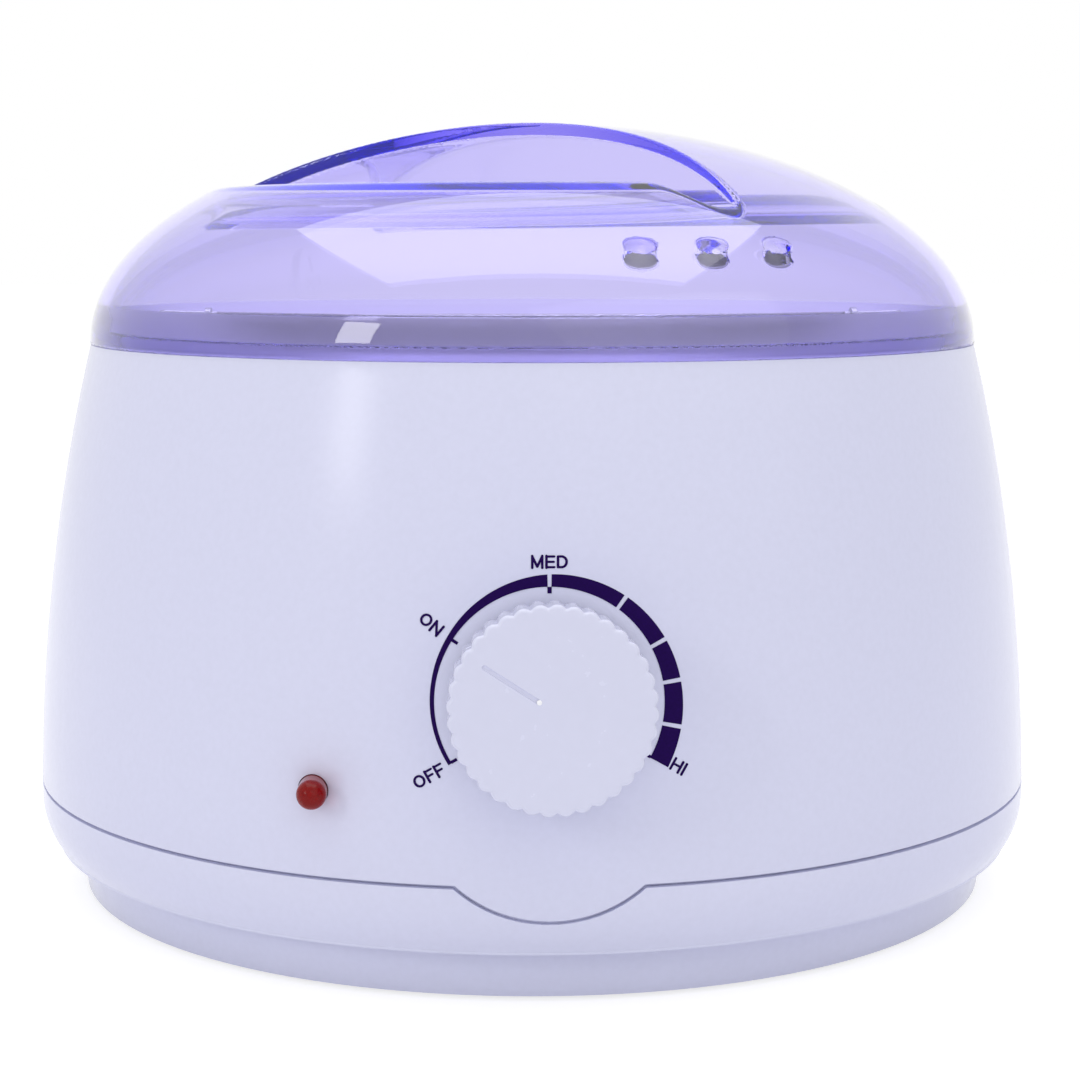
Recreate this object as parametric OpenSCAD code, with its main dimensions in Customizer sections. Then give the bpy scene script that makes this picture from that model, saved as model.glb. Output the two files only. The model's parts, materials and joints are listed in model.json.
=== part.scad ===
// Table-top wax warmer with a lift-out pot, a clear lid and a heat dial.
// Millimetres. +Z is up and the dial faces -Y. The origin is on the surface it stands on, under the
// middle of the whole outline, so the knob puts the axis of the round body a little behind it.

/* [Body] */
// Largest radius of the body, at the seam
body_r = 93; // [90:0.5:97]
// Radius of the rim that carries the lid
rim_r = 82.2; // [80.5:0.2:84]
// Radius of the arc that the side wall follows from seam to rim
side_arc_r = 363; // [320:5:450]
// Height of the rim, where the lid parts from the body
rim_z = 100.6; // [98:0.2:106]
// Height of the seam between the upper and the base housing
seam_z = 20.8; // [20:0.2:23]
// Wall of the upper and the base housing
wall = 2.5; // [2:0.1:3]
// Gap that shows along the seam
seam_gap = 0.6; // [0.3:0.1:0.8]
// Radius of the round tongue that dips below the seam under the dial
tongue_r = 22.4; // [20:0.2:24]
// How far the tongue dips below the seam
tongue_drop = 5.5; // [4:0.5:6]
// Depth of the deck ring below the rim
deck_drop = 3; // [2.8:0.1:3.6]

/* [Base] */
// Radius of the round at the bottom of the band
band_round = 13.8; // [12:0.2:15]
// Height of the step between the band and the foot ring
step_z = 9.1; // [8.5:0.1:10]
// How far the foot ring stands in from the edge of the step
foot_ring_in = 4.7; // [4:0.1:6]
// Wall of the foot ring
foot_ring_t = 3; // [2.5:0.1:3.5]
// How much wider the foot ring is at its top
foot_ring_flare = 0.8; // [0.2:0.1:1]
// Height of the foot ring's bottom edge above the surface
foot_ring_z = 0.8; // [0.5:0.1:1.2]
// Height of the underside of the base floor
floor_z = 3.4; // [3:0.1:4]
// Radius of each rubber foot
foot_r = 7; // [6:0.5:9]
// Gap between each foot and the inside of the foot ring
foot_gap = 7.2; // [4:0.1:10]
// Outer radius of the screw bosses
boss_r = 4.5; // [4:0.1:5]
// Height of the top of the screw bosses
boss_top_z = 34; // [30:1:40]
// Shank radius of the base screws
base_screw_r = 1.7; // [1.5:0.1:2]

/* [Lid] */
// Height of the dome above the rim
dome_h = 40.4; // [38:0.2:43]
// Thickness of the lid
lid_t = 2.2; // [1.8:0.1:2.6]
// Height of the thicker band round the bottom of the lid
lid_band_h = 6.6; // [5:0.2:9]
// Extra thickness of that band
lid_band_t = 1; // [0.6:0.1:1.4]
// Depth of the skirt that drops inside the rim
skirt_h = 2.2; // [1.6:0.1:2.4]
// Angle from the front to the middle of the nearer finger pocket
lid_turn = -38.3; // [-60:0.1:60]
// Half the width of the grip at its waist
grip_half = 6.9; // [6:0.1:10]
// Radius of the arc that each side of the grip follows in plan
grip_arc_r = 110; // [100:1:130]
// Height above the rim of the level part of each pocket's floor
pocket_h = 28.2; // [26:0.2:29]
// How far the pocket's floor falls at the foot of the grip
pocket_fall = 4.2; // [3:0.1:6]
// Width of the sloping part of that floor
pocket_slope_w = 14; // [10:0.5:18]
// Distance of the steam holes from the axis
vent_place_r = 74.1; // [72:0.1:75]
// Radius of each steam hole
vent_r = 1.35; // [1:0.05:1.8]
// Angle between two steam holes
vent_step = 9.5; // [7:0.5:12]
// Angle from the front to the first steam hole
vent_start = 11.6; // [5:0.1:20]

/* [Pot] */
// Inner radius of the heater well
well_r = 60; // [58:0.5:61]
// Sheet of the heater well
well_t = 1.2; // [1:0.1:1.6]
// Height of the well's floor, on its inside
well_floor_z = 37.2; // [36:0.2:40]
// Gap between the well's flange and the lid's skirt
well_flange_gap = 1.6; // [1.2:0.1:2]
// Gap between the pot and the well
pot_gap = 1.2; // [0.8:0.1:2]
// Sheet of the pot
pot_t = 1; // [0.8:0.1:1.4]
// Gap under the pot
pot_lift_gap = 0.3; // [0.2:0.1:1]
// Width of the pot's flange, to the middle of its rolled edge
pot_flange_w = 8.7; // [8.4:0.1:9]
// Radius of the round between the wall and floor of the pot
pot_corner = 6; // [4:0.5:9]
// Radius of the bail's wire
bail_wire_r = 1.4; // [1.2:0.1:1.6]
// Height of the bail's pivot above the pot's flange
pivot_up = 4.6; // [4:0.2:5.5]
// Sheet of the ears that hold the bail
ear_t = 1; // [0.8:0.1:1.2]
// Width of the ears
ear_w = 12; // [10:0.5:14]

/* [Dial] */
// Height of the centre of the dial
dial_z = 49.3; // [46:0.1:52]
// Radius of the knob over its scallops
knob_r = 15.75; // [14.5:0.05:17]
// Distance from the body to the front of the knob
knob_out = 13; // [11:0.5:15]
// Gap between the body and the back of the knob
knob_gap = 1.2; // [0.8:0.1:2]
// Wall of the knob
knob_t = 1.6; // [1.2:0.1:2]
// Number of scallops round the knob
scallops = 36; // [30:1:42]
// Turn of the knob at rest, from straight up, as seen from the front
knob_rest = 57.3; // [0:0.1:90]
// Radius of the thermostat's shaft
shaft_r = 3; // [2.5:0.1:3.2]
// Radius of the thermostat's threaded neck
neck_r = 4.7; // [4.5:0.1:5.2]
// Radius of the thermostat's body
thermostat_r = 12; // [10:0.5:14]
// Depth of the thermostat's body
thermostat_h = 12; // [10:0.5:13]

/* [Lamp] */
// Distance of the lamp to the left of the dial
lamp_left = 36.7; // [34:0.1:40]
// Height of the lamp
lamp_z = 34.4; // [31:0.1:36]
// Radius of the lamp's lens
lamp_r = 2.35; // [2:0.05:2.6]
// Distance from the body to the centre of the lens's dome
lamp_out = 4.2; // [3:0.1:5]

/* [Heater] */
// Radius of the flat heater
heater_r = 34; // [30:1:36]
// Thickness of the flat heater
heater_t = 1.5; // [1.2:0.1:2]
// Thickness of the plate that presses the heater to the well
plate_t = 1.5; // [1:0.1:2]
// Radius of the stud that holds the heater and the shield
stud_r = 2.5; // [2:0.1:3]
// Height of the heat shield
shield_z = 23; // [22:0.5:25]
// Radius of the heat shield
shield_r = 52; // [48:1:54]

/* [Cord entry] */
// Height of the cord grommet at the back
cord_z = 34; // [32:0.5:38]
// Radius of the hole through the grommet
cord_hole_r = 3.3; // [3:0.1:3.6]
// Radius of the grommet's neck in the wall
grommet_r = 5.6; // [5.2:0.1:6.2]

/* [Hidden] */
$fn = 96;

// Fits: a running fit for what turns, a slip fit for fixed parts, and a seat between bodies
running = 0.05;
slip = 0.1;
seat = 0.05;
eps = 0.02;
cut = 1;

// The side wall's arc runs from (body_r, seam_z) to (rim_r, rim_z) in the plane of radius and height
side_in = body_r - rim_r;
side_up = rim_z - seam_z;
side_chord = sqrt(side_in * side_in + side_up * side_up);
side_reach = sqrt(side_arc_r * side_arc_r - side_chord * side_chord / 4);
arc_x = (body_r + rim_r) / 2 - side_reach * side_up / side_chord;
arc_z = (seam_z + rim_z) / 2 - side_reach * side_in / side_chord;
function side_r(z) = arc_x + sqrt(side_arc_r * side_arc_r - (z - arc_z) * (z - arc_z));
function side_tilt(z) = asin((z - arc_z) / side_arc_r);

// Housings
band_z = seam_z - 3;
deck_z = rim_z - deck_drop;
tongue_z = seam_z - tongue_drop + tongue_r;
lip_t = 1.8;
lip_up = 4;
lip_gap = 0.3;
lip_r = body_r - wall - lip_gap;
floor_top = floor_z + wall;
step_up = band_z - step_z;
step_r = body_r - band_round + sqrt(band_round * band_round - step_up * step_up);
foot_ring_r = step_r - foot_ring_in;
foot_ring_bore = foot_ring_r - foot_ring_t;
step_inner_t = 2;
boss_angles = [30, 150, 210, 330];
boss_clear = 0.3;
boss_place_r = foot_ring_bore - boss_r - boss_clear;
boss_hole_spare = 4;
boss_web_t = 2;
boss_web_z = seam_z + lip_up + 1;
boss_gap = 0.2;
screw_head_r = 3.2;
screw_head_h = 2;
screw_len = 14;
screw_sunk = 0.6;
sink_r = 3.8;
foot_angles = [45, 135, 225, 315];
foot_place_r = foot_ring_bore - foot_gap - foot_r;
foot_edge = 0.6;
foot_stem_r = 3;
foot_button_r = 4;
foot_button_h = 1.5;

// Cross recess and edge of a pan head, as shares of its radius or as lengths
recess_share = 0.55;
recess_w = 0.6;
recess_deep = 0.8;
head_edge = 0.5;

// Lid
skirt_gap = 0.4;
skirt_t = 2;
skirt_r = rim_r - wall - skirt_gap - skirt_h * tan(side_tilt(rim_z));
dome_r = rim_r + 0.2;
dome_z = rim_z + seat;
pocket_z = dome_z + pocket_h;
pocket_mid = 3;
pocket_c = grip_half + grip_arc_r;
dome_steps = 24;
pocket_top = dome_z + dome_h + 4;
shelf_t = 2;
bore_r = skirt_r - skirt_t;

// Well and pot
well_out_r = well_r + well_t;
well_bottom_z = well_floor_z - well_t;
flange_z = deck_z + well_t;
well_flange_r = bore_r - well_flange_gap;
pot_r = well_r - pot_gap;
pot_bottom_z = well_floor_z + pot_lift_gap;
pot_flange_z = flange_z + pot_t;
pot_flange_r = pot_r + pot_flange_w;
pot_round = pot_corner - well_t;
deck_hole_gap = 0.6;
deck_hole_r = well_out_r + deck_hole_gap;
bead_r = 1;
well_screw_r = 1.5;
well_screw_len = 9;
well_screw_head_r = 2.8;
well_screw_head_h = 1.2;
well_screw_edge = 0.5;
well_screw_spare = 2;
well_screw_place_r = well_flange_r - well_screw_head_r - well_screw_edge;
well_screw_angles = [0, 120, 240];
well_boss_r = 4;
well_boss_h = 10;

// Bail
pivot_z = pot_flange_z + pivot_up;
ear_in = 1.8;
ear_edge = 0.5;
ear_x = pot_r + ear_in;
ear_foot = pot_flange_w - ear_in - ear_t - bead_r - ear_edge;
ear_top = bail_wire_r + 1.2;
bail_gap = 0.6;
bail_r = pot_flange_r + bead_r + bail_gap;
bail_ball_r = bail_wire_r + 0.1;
bail_end = 1.2;
bail_rest_gap = 0.3;
bail_low = flange_z + seat + 2 * bead_r + bail_wire_r + bail_rest_gap;
bail_rest = asin((pivot_z - bail_low) / bail_r);
rivet_r = 1;
rivet_head_r = 1.6;
rivet_head_h = 0.7;
rivet_edge = 1;
rivet_x = ear_x + ear_t + ear_foot / 2;
rivet_y = ear_w / 2 - rivet_head_r - rivet_edge;

// Dial and thermostat, along the dial's own axis, 0 at the outer face of the body
dial_tilt = side_tilt(dial_z);
dial_r = side_r(dial_z);
pad_r = 14;
pad_t = 2.2;
pad_back = -wall - pad_t;
bracket_t = 1;
bracket_gap = 0.4;
bracket_tab_w = 8;
bracket_tab_h = 4;
bracket_edge = 1;
body_front = pad_back - bracket_t;
body_back = body_front - thermostat_h;
nut_seat = -0.5;
nut_seat_r = 8.6;
nut_h = 2.2;
nut_r = 7.3;
neck_past_nut = 1.2;
neck_end = nut_seat + nut_h + neck_past_nut;
shaft_short = 1.2;
shaft_end = knob_out - knob_t - shaft_short;
shaft_step = neck_end + 0.6;
shaft_sunk = 3;
shaft_back = body_front - shaft_sunk;
shaft_flat = 0.6;
shaft_end_gap = 0.2;
shaft_back_gap = 0.3;
hub_r = 5.4;
hub_gap = 1;
scallop_r = 1.5;
scallop_out = 0.35;
pointer_w = 0.5;
pointer_from = 2.4;
pointer_to = 12.4;
pointer_deep = 0.3;
terminal_w = 4.8;
terminal_t = 0.8;
terminal_h = 6;
terminal_x = 5;

// Lamp, along the lamp's own axis, 0 at the outer face of the body
lamp_tilt = side_tilt(lamp_z);
lamp_y = -sqrt(side_r(lamp_z) * side_r(lamp_z) - lamp_left * lamp_left);
lamp_boss_r = 5;
lamp_boss_back = -8;
neon_gap = 0.2;
neon_tip_gap = 0.3;
lens_flange_r = 3.6;
lens_flange_t = 1;
neon_r = 1.4;
neon_back = 9;
neon_front = 2.5;
holder_r = 4.4;
holder_h = 3;

// Heater
plate_top = well_bottom_z - heater_t;
plate_bottom = plate_top - plate_t;
plate_edge = 1.5;
stud_gap = 0.5;
washer_t = 0.8;
washer_r = 5;
washer_split = 0.8;
nut6_r = 4.6;
nut6_h = 3.2;
stud_spare = 1.6;
stud_bottom = shield_z - nut6_h - stud_spare;
shield_t = 0.8;
shield_gap = 0.3;
shield_rim = 5;
shield_flare = 1;
fuse_r = 2;
fuse_len = 12;
fuse_place = heater_r + 8;
fuse_z = well_bottom_z - fuse_r - 0.3;
fuse_gap = 0.1;
clip_t = 0.6;
clip_w = 5;
clip_end = 2.5;
clip_open = 2;
clip_cut_z = -0.2;
fuse_boss_r = 2.6;
fuse_boss_h = 3;
fuse_boss_x = fuse_r + clip_t + fuse_boss_r + 0.6;
fuse_screw_r = 1.2;
fuse_screw_short = 0.4;
fuse_screw_head_r = 2.2;
fuse_screw_head_h = 1;

// Cord entry
grommet_flange_r = 8.4;
grommet_flange_t = 2.4;
grommet_flange_z = 0.5;
grommet_flange_edge = 1.2;
grommet_mouth_z = 0.35;
grommet_room = 0.7;
grommet_neck = 1.4;
grommet_barb = 1.2;
grommet_barb_h = 1.6;
cord_tilt = side_tilt(cord_z);
cord_r = side_r(cord_z);
clamp_back = 18.4;
clamp_y = cord_r - clamp_back;
clamp_x = 10;
clamp_w = 8;
clamp_t = 3;
clamp_end = 4.5;
clamp_post_r = 3.6;
clamp_post_gap = 0.4;
clamp_post_top = cord_z - cord_hole_r - clamp_post_gap;
clamp_screw_r = 1.4;
clamp_screw_len = 12;
clamp_head_r = 2.6;
clamp_head_h = 1.8;
crimp_r = 3.4;
crimp_len = 14;
crimp_wall = 3;
crimp_hole_gap = 0.3;
crimp_at = [[26, 58, 9.6], [-26, 58, 9.6]];

// Routes of the inner leads
lead_r = 1.1;
lead_sides = 8;
supply_path = [[26, 51, 10], [30, 40, 13], [36, 20, 15], [40, -5, 15], [34, -34, 16], [20, -56, 24],
    [9, -66, 36], [5, -69, 45]];
heater_path = [[-26, 51, 10], [-30, 46, 14], [-42, 42, 20], [-45, 38, 27], [-39, 32, 31],
    [-30, 25, 30], [-26.6, 21.9, 31.2], [-26.2, 21.6, 34.25]];
fuse_path = [[-5, -69, 45], [-9, -66, 36], [-20, -60, 27], [-36, -48, 27], [-45, -33, 30], [-43, -17, 32.5],
    [-42, -10, 33.6], [-42, -6.3, 33.7]];
link_path = [[-42, 6.3, 33.7], [-41.8, 9.5, 33.4], [-39, 13.6, 31.6], [-34.5, 14.6, 30.4],
    [-31.6, 13.9, 31.4], [-31.2, 13.6, 34.25]];

// Middle of the outline from front to back: the knob reaches further out than the cord grommet
front_reach = dial_r + knob_out * cos(dial_tilt) + knob_r * sin(dial_tilt);
rear_reach = cord_r + (grommet_flange_z + grommet_flange_t) * cos(cord_tilt)
    + (grommet_flange_r - grommet_flange_edge) * sin(cord_tilt);
axis_y = (front_reach - rear_reach) / 2;

// Frames of the dial, the lamp and the cord entry: Z points out of the body, Y points up
module at_dial() {
    translate([0, -dial_r, dial_z]) rotate([90 - dial_tilt, 0, 0]) children();
}

module at_lamp() {
    translate([-lamp_left, lamp_y, lamp_z]) rotate([90 - lamp_tilt, 0, 0]) children();
}

module at_cord() {
    translate([0, cord_r, cord_z]) rotate([0, 0, 180]) rotate([90 - cord_tilt, 0, 0]) children();
}

module ring_of(angles, r) {
    for (a = angles) rotate([0, 0, a]) translate([r, 0, 0]) children();
}

module tube(r_out, r_in, z0, z1) {
    translate([0, 0, z0]) difference() {
        cylinder(r = r_out, h = z1 - z0);
        translate([0, 0, -cut]) cylinder(r = r_in, h = z1 - z0 + 2 * cut);
    }
}

module rod(r, z0, z1) {
    translate([0, 0, z0]) cylinder(r = r, h = z1 - z0);
}

module hex_nut(r, bore, z0, z1) {
    translate([0, 0, z0]) difference() {
        cylinder(r = r, h = z1 - z0, $fn = 6);
        translate([0, 0, -cut]) cylinder(r = bore, h = z1 - z0 + 2 * cut);
    }
}

// Pan head with its cross recess, head down or up
module pan_screw(r, len, head_r, head_h) {
    difference() {
        union() {
            cylinder(r = r, h = len + eps);
            translate([0, 0, len]) cylinder(r1 = head_r, r2 = head_r - head_edge, h = head_h);
        }
        for (a = [0, 90]) rotate([0, 0, a])
            translate([-head_r * recess_share, -recess_w / 2, len + head_h - recess_deep])
                cube([2 * head_r * recess_share, recess_w, recess_deep + cut]);
    }
}

// Flat region inside the side wall, in the plane of radius and height
module side_region(inset, z0, z1) {
    intersection() {
        translate([arc_x, arc_z]) circle(r = side_arc_r - inset, $fn = 720);
        translate([0, z0]) square([body_r + cut, z1 - z0]);
    }
}

// Flat region inside the band below the seam
module band_region(inset, z0) {
    intersection() {
        union() {
            translate([body_r - band_round, band_z]) circle(r = band_round - inset);
            square([body_r - band_round, seam_z]);
            translate([0, band_z]) square([body_r - inset, seam_z - band_z]);
        }
        translate([0, z0]) square([body_r, seam_z - z0]);
    }
}

// Everything below the seam line, with the tongue's dip left out
module below_seam(gap) {
    difference() {
        translate([0, 0, -cut]) cylinder(r = body_r + 2, h = seam_z - gap + cut);
        translate([0, 0, tongue_z]) rotate([90, 0, 0])
            cylinder(r = tongue_r + gap, h = body_r + 2 * cut, $fn = 180);
    }
}

module upper_housing() {
    color("ghostwhite") difference() {
        union() {
            difference() {
                union() {
                    rotate_extrude($fn = 180) difference() {
                        side_region(0, seam_z, rim_z);
                        side_region(wall, seam_z - cut, rim_z + cut);
                    }
                    rotate_extrude($fn = 180) difference() {
                        band_region(0, step_z + cut);
                        band_region(wall, step_z);
                    }
                }
                below_seam(0);
            }
            rotate_extrude($fn = 180) difference() {
                side_region(wall / 2, deck_z - wall, deck_z);
                square([deck_hole_r, rim_z]);
            }
            ring_of(boss_angles, boss_place_r) boss();
            ring_of(well_screw_angles, well_screw_place_r)
                rod(well_boss_r, deck_z - wall - well_boss_h, deck_z - eps);
            intersection() {
                at_dial() rod(pad_r, pad_back, -wall / 2);
                rotate_extrude($fn = 180) side_region(wall / 2, seam_z, rim_z);
            }
            intersection() {
                at_lamp() rod(lamp_boss_r, lamp_boss_back, -eps);
                rotate_extrude($fn = 180) side_region(wall / 2, seam_z, rim_z);
            }
        }
        ring_of(boss_angles, boss_place_r)
            rod(base_screw_r + slip, 0, floor_z + screw_len + boss_hole_spare);
        ring_of(well_screw_angles, well_screw_place_r)
            rod(well_screw_r + slip, flange_z - well_screw_len - well_screw_spare, rim_z);
        at_dial() rod(neck_r + slip, pad_back - cut, cut);
        at_dial() rod(nut_seat_r, nut_seat, cut);
        at_lamp() rod(lamp_r + slip, lamp_boss_back - cut, lamp_r + cut);
        at_cord() rod(grommet_r + slip, -wall - grommet_r, cut);
    }
}

// Screw boss with the web that ties it to the side wall
module boss() {
    rod(boss_r, floor_top + boss_gap, boss_top_z);
    translate([0, -boss_web_t / 2, boss_web_z])
        cube([side_r(boss_top_z) - wall / 2 - boss_place_r, boss_web_t, boss_top_z - boss_web_z]);
}

module base_housing() {
    color("ghostwhite") difference() {
        union() {
            intersection() {
                rotate_extrude($fn = 180) difference() {
                    band_region(0, step_z);
                    band_region(wall, step_z + wall);
                    square([foot_ring_bore, seam_z]);
                }
                below_seam(seam_gap);
            }
            rotate_extrude($fn = 180) {
                polygon([[foot_ring_bore, foot_ring_z], [foot_ring_r, foot_ring_z],
                    [foot_ring_r + foot_ring_flare, step_z + eps], [foot_ring_bore, step_z + eps]]);
                translate([0, floor_z]) square([foot_ring_bore + foot_ring_t / 2, wall]);
                translate([lip_r - lip_t, step_z]) square([lip_t, seam_z + lip_up - step_z]);
                translate([foot_ring_bore, step_z]) square([foot_ring_t + step_inner_t, wall]);
            }
            for (side = [-1, 1]) translate([side * clamp_x, clamp_y, 0])
                rod(clamp_post_r, floor_top - eps, clamp_post_top);
        }
        ring_of(boss_angles, boss_place_r) rod(base_screw_r + slip, 0, floor_top + cut);
        ring_of(boss_angles, boss_place_r) rod(sink_r, 0, floor_z + screw_sunk);
        ring_of(foot_angles, foot_place_r) rod(foot_stem_r + slip, 0, floor_top + cut);
        for (side = [-1, 1]) translate([side * clamp_x, clamp_y, 0])
            rod(clamp_screw_r + slip, clamp_post_top - clamp_screw_len, clamp_post_top + cut);
    }
}

module foot(n) {
    color("dimgray") rotate([0, 0, foot_angles[n - 1]]) translate([foot_place_r, 0, 0]) {
        rod(foot_r, foot_edge, floor_z);
        cylinder(r1 = foot_r - foot_edge, r2 = foot_r, h = foot_edge);
        rod(foot_stem_r, floor_z - eps, floor_top + eps);
        translate([0, 0, floor_top])
            cylinder(r1 = foot_button_r, r2 = foot_stem_r - foot_edge, h = foot_button_h);
    }
}

module base_screws() {
    color("silver") ring_of(boss_angles, boss_place_r)
        translate([0, 0, floor_z + screw_sunk + screw_len]) mirror([0, 0, 1])
            pan_screw(base_screw_r, screw_len, screw_head_r, screw_head_h);
}

// Outline of a cup with a rounded lower corner, in the plane of radius and height
module cup_region(r, z0, z1, corner) {
    translate([0, z0]) square([r - corner, z1 - z0]);
    translate([0, z0 + corner]) square([r, z1 - z0 - corner]);
    translate([r - corner, z0 + corner]) circle(r = corner);
}

// Quarter of an ellipse from the rim to the crown, in the plane of radius and height
function dome_point(a, inset) = [(dome_r - inset) * cos(a), dome_z + (dome_h - inset) * sin(a)];
module dome_region(inset) {
    polygon([for (i = [0 : dome_steps]) dome_point(90 * i / dome_steps, inset), [0, dome_z]]);
}

// A finger pocket: it is turned round the centre of the arc that the grip's side follows
module pocket(grow) {
    translate([0, -pocket_c, 0]) rotate_extrude($fn = 360) polygon([
        [0, pocket_z - grow],
        [grip_arc_r - pocket_slope_w + grow / 2, pocket_z - grow],
        [grip_arc_r - pocket_mid + grow, pocket_z - pocket_fall - grow],
        [grip_arc_r + grow, pocket_z - pocket_fall - grow],
        [grip_arc_r + grow, pocket_top],
        [0, pocket_top]]);
}

module pockets(grow) {
    rotate([0, 0, lid_turn]) {
        pocket(grow);
        rotate([0, 0, 180]) pocket(grow);
    }
}

module lid() {
    color("mediumpurple", 0.5) difference() {
        union() {
            difference() {
                rotate_extrude($fn = 180) dome_region(0);
                pockets(0);
            }
            rod(skirt_r, dome_z - skirt_h, dome_z + eps);
        }
        difference() {
            rotate_extrude($fn = 180) dome_region(lid_t);
            pockets(lid_t);
            tube(dome_r, dome_r - lid_t - lid_band_t, dome_z - cut, dome_z + lid_band_h);
            tube(dome_r, bore_r, dome_z - cut, dome_z + shelf_t);
        }
        rod(bore_r, dome_z - skirt_h - cut, dome_z + shelf_t / 2);
        for (i = [0 : 2]) rotate([0, 0, vent_start + vent_step * i])
            translate([0, -vent_place_r, rim_z]) cylinder(r = vent_r, h = dome_h);
    }
}

module heater_well() {
    color("lightgray") difference() {
        rotate_extrude($fn = 180) {
            difference() {
                cup_region(well_out_r, well_bottom_z, flange_z, pot_corner);
                cup_region(well_r, well_floor_z, flange_z + cut, pot_corner - well_t);
            }
            translate([well_out_r - eps, deck_z]) square([well_flange_r - well_out_r, well_t]);
        }
        ring_of(well_screw_angles, well_screw_place_r) rod(well_screw_r + slip, deck_z - cut, rim_z);
    }
    color("lightgray") translate([-fuse_place - fuse_boss_x, 0, 0])
        tube(fuse_boss_r, fuse_screw_r + slip, well_bottom_z - fuse_boss_h, well_bottom_z + eps);
}

module well_screws() {
    color("silver") ring_of(well_screw_angles, well_screw_place_r)
        translate([0, 0, flange_z - well_screw_len])
            pan_screw(well_screw_r, well_screw_len, well_screw_head_r, well_screw_head_h);
}

module pot() {
    color("silver") difference() {
        rotate_extrude($fn = 180) {
            difference() {
                cup_region(pot_r, pot_bottom_z, pot_flange_z, pot_round);
                cup_region(pot_r - pot_t, pot_bottom_z + pot_t, pot_flange_z + cut, pot_round - pot_t);
            }
            translate([pot_r - eps, flange_z + seat]) square([pot_flange_r - pot_r, pot_t - seat]);
            translate([pot_flange_r, flange_z + seat + bead_r]) circle(r = bead_r);
        }
        for (side = [-1, 1], y = [-rivet_y, rivet_y])
            translate([side * rivet_x, y, 0]) rod(rivet_r + eps, flange_z - cut, pot_flange_z + cut);
    }
}

// An ear: a foot on the pot's flange and an upright that holds the end of the bail
module ear(side) {
    color("gray") mirror([side < 0 ? 1 : 0, 0, 0]) difference() {
        union() {
            translate([ear_x, -ear_w / 2, pot_flange_z]) cube([ear_t + ear_foot, ear_w, ear_t]);
            translate([ear_x, -ear_top, pot_flange_z]) cube([ear_t, 2 * ear_top, pivot_up]);
            translate([ear_x, 0, pivot_z]) rotate([0, 90, 0]) cylinder(r = ear_top, h = ear_t);
        }
        translate([ear_x - cut, 0, pivot_z]) rotate([0, 90, 0])
            cylinder(r = bail_wire_r + running, h = ear_t + 2 * cut);
        for (y = [-rivet_y, rivet_y]) translate([rivet_x, y, 0])
            rod(rivet_r + eps, pot_flange_z - cut, pot_flange_z + ear_t + cut);
    }
}

module ear_rivets() {
    color("silver") for (side = [-1, 1], y = [-rivet_y, rivet_y]) translate([side * rivet_x, y, 0]) {
        rod(rivet_r, flange_z + seat + eps, pot_flange_z + ear_t + eps);
        translate([0, 0, pot_flange_z + ear_t])
            cylinder(r1 = rivet_head_r, r2 = rivet_head_r - head_edge, h = rivet_head_h);
    }
}

module bail() {
    color("silver") translate([0, 0, pivot_z]) rotate([-bail_rest, 0, 0]) {
        rotate_extrude(angle = 180, $fn = 180) translate([bail_r, 0]) circle(r = bail_wire_r, $fn = 32);
        for (side = [-1, 1]) {
            translate([side * bail_r, 0, 0]) sphere(r = bail_ball_r, $fn = 32);
            translate([side * (ear_x - bail_end), 0, 0]) rotate([0, side * 90, 0])
                cylinder(r = bail_wire_r, h = bail_r - ear_x + bail_end);
        }
    }
}

// Scalloped outline of the knob
module knob_outline(inset) {
    circle(r = knob_r - scallop_out - inset);
    if (inset == 0) for (i = [0 : scallops - 1]) rotate([0, 0, 360 * i / scallops])
        translate([0, knob_r - scallop_r]) circle(r = scallop_r, $fn = 24);
}

module shaft_section(grow) {
    difference() {
        circle(r = shaft_r + grow);
        translate([-shaft_r - cut, shaft_r - shaft_flat + grow]) square([2 * (shaft_r + cut), shaft_r]);
    }
}

module knob() {
    color("white") at_dial() rotate([0, 0, knob_rest]) difference() {
        union() {
            difference() {
                translate([0, 0, knob_gap]) linear_extrude(knob_out - knob_gap) knob_outline(0);
                translate([0, 0, knob_gap - cut]) linear_extrude(knob_out - knob_gap - knob_t + cut)
                    knob_outline(knob_t);
            }
            rod(hub_r, neck_end + hub_gap, knob_out - knob_t + eps);
        }
        translate([0, 0, neck_end]) linear_extrude(shaft_end - neck_end + shaft_end_gap)
            shaft_section(running / 2);
        translate([-pointer_w / 2, pointer_from, knob_out - pointer_deep])
            cube([pointer_w, pointer_to - pointer_from, cut]);
    }
}

module thermostat_shaft() {
    color("darkgoldenrod") at_dial() rotate([0, 0, knob_rest]) {
        rod(shaft_r, shaft_back, shaft_step);
        translate([0, 0, shaft_step - eps]) linear_extrude(shaft_end - shaft_step) shaft_section(0);
    }
}

module thermostat_body() {
    color("saddlebrown") at_dial() difference() {
        union() {
            rod(thermostat_r, body_back, body_front);
            rod(neck_r, body_front - eps, neck_end);
        }
        rod(shaft_r + running, shaft_back - shaft_back_gap, neck_end + cut);
    }
}

module thermostat_bracket() {
    color("silver") at_dial() difference() {
        union() {
            rod(pad_r - bracket_edge, body_front, pad_back);
            for (side = [-1, 1]) translate([side * (thermostat_r + bracket_gap + bracket_t / 2),
                0, body_front - bracket_tab_h]) translate([-bracket_t / 2, -bracket_tab_w / 2, 0])
                    cube([bracket_t, bracket_tab_w, bracket_tab_h + bracket_t / 2]);
        }
        rod(neck_r + slip, body_front - cut, pad_back + cut);
    }
}

module thermostat_nut() {
    color("silver") at_dial() hex_nut(nut_r, neck_r + slip, nut_seat, nut_seat + nut_h);
}

module thermostat_terminals() {
    color("gold") at_dial() for (side = [-1, 1])
        translate([side * terminal_x - terminal_w / 2, -terminal_t / 2, body_back - terminal_h])
            cube([terminal_w, terminal_t, terminal_h]);
}

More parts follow.
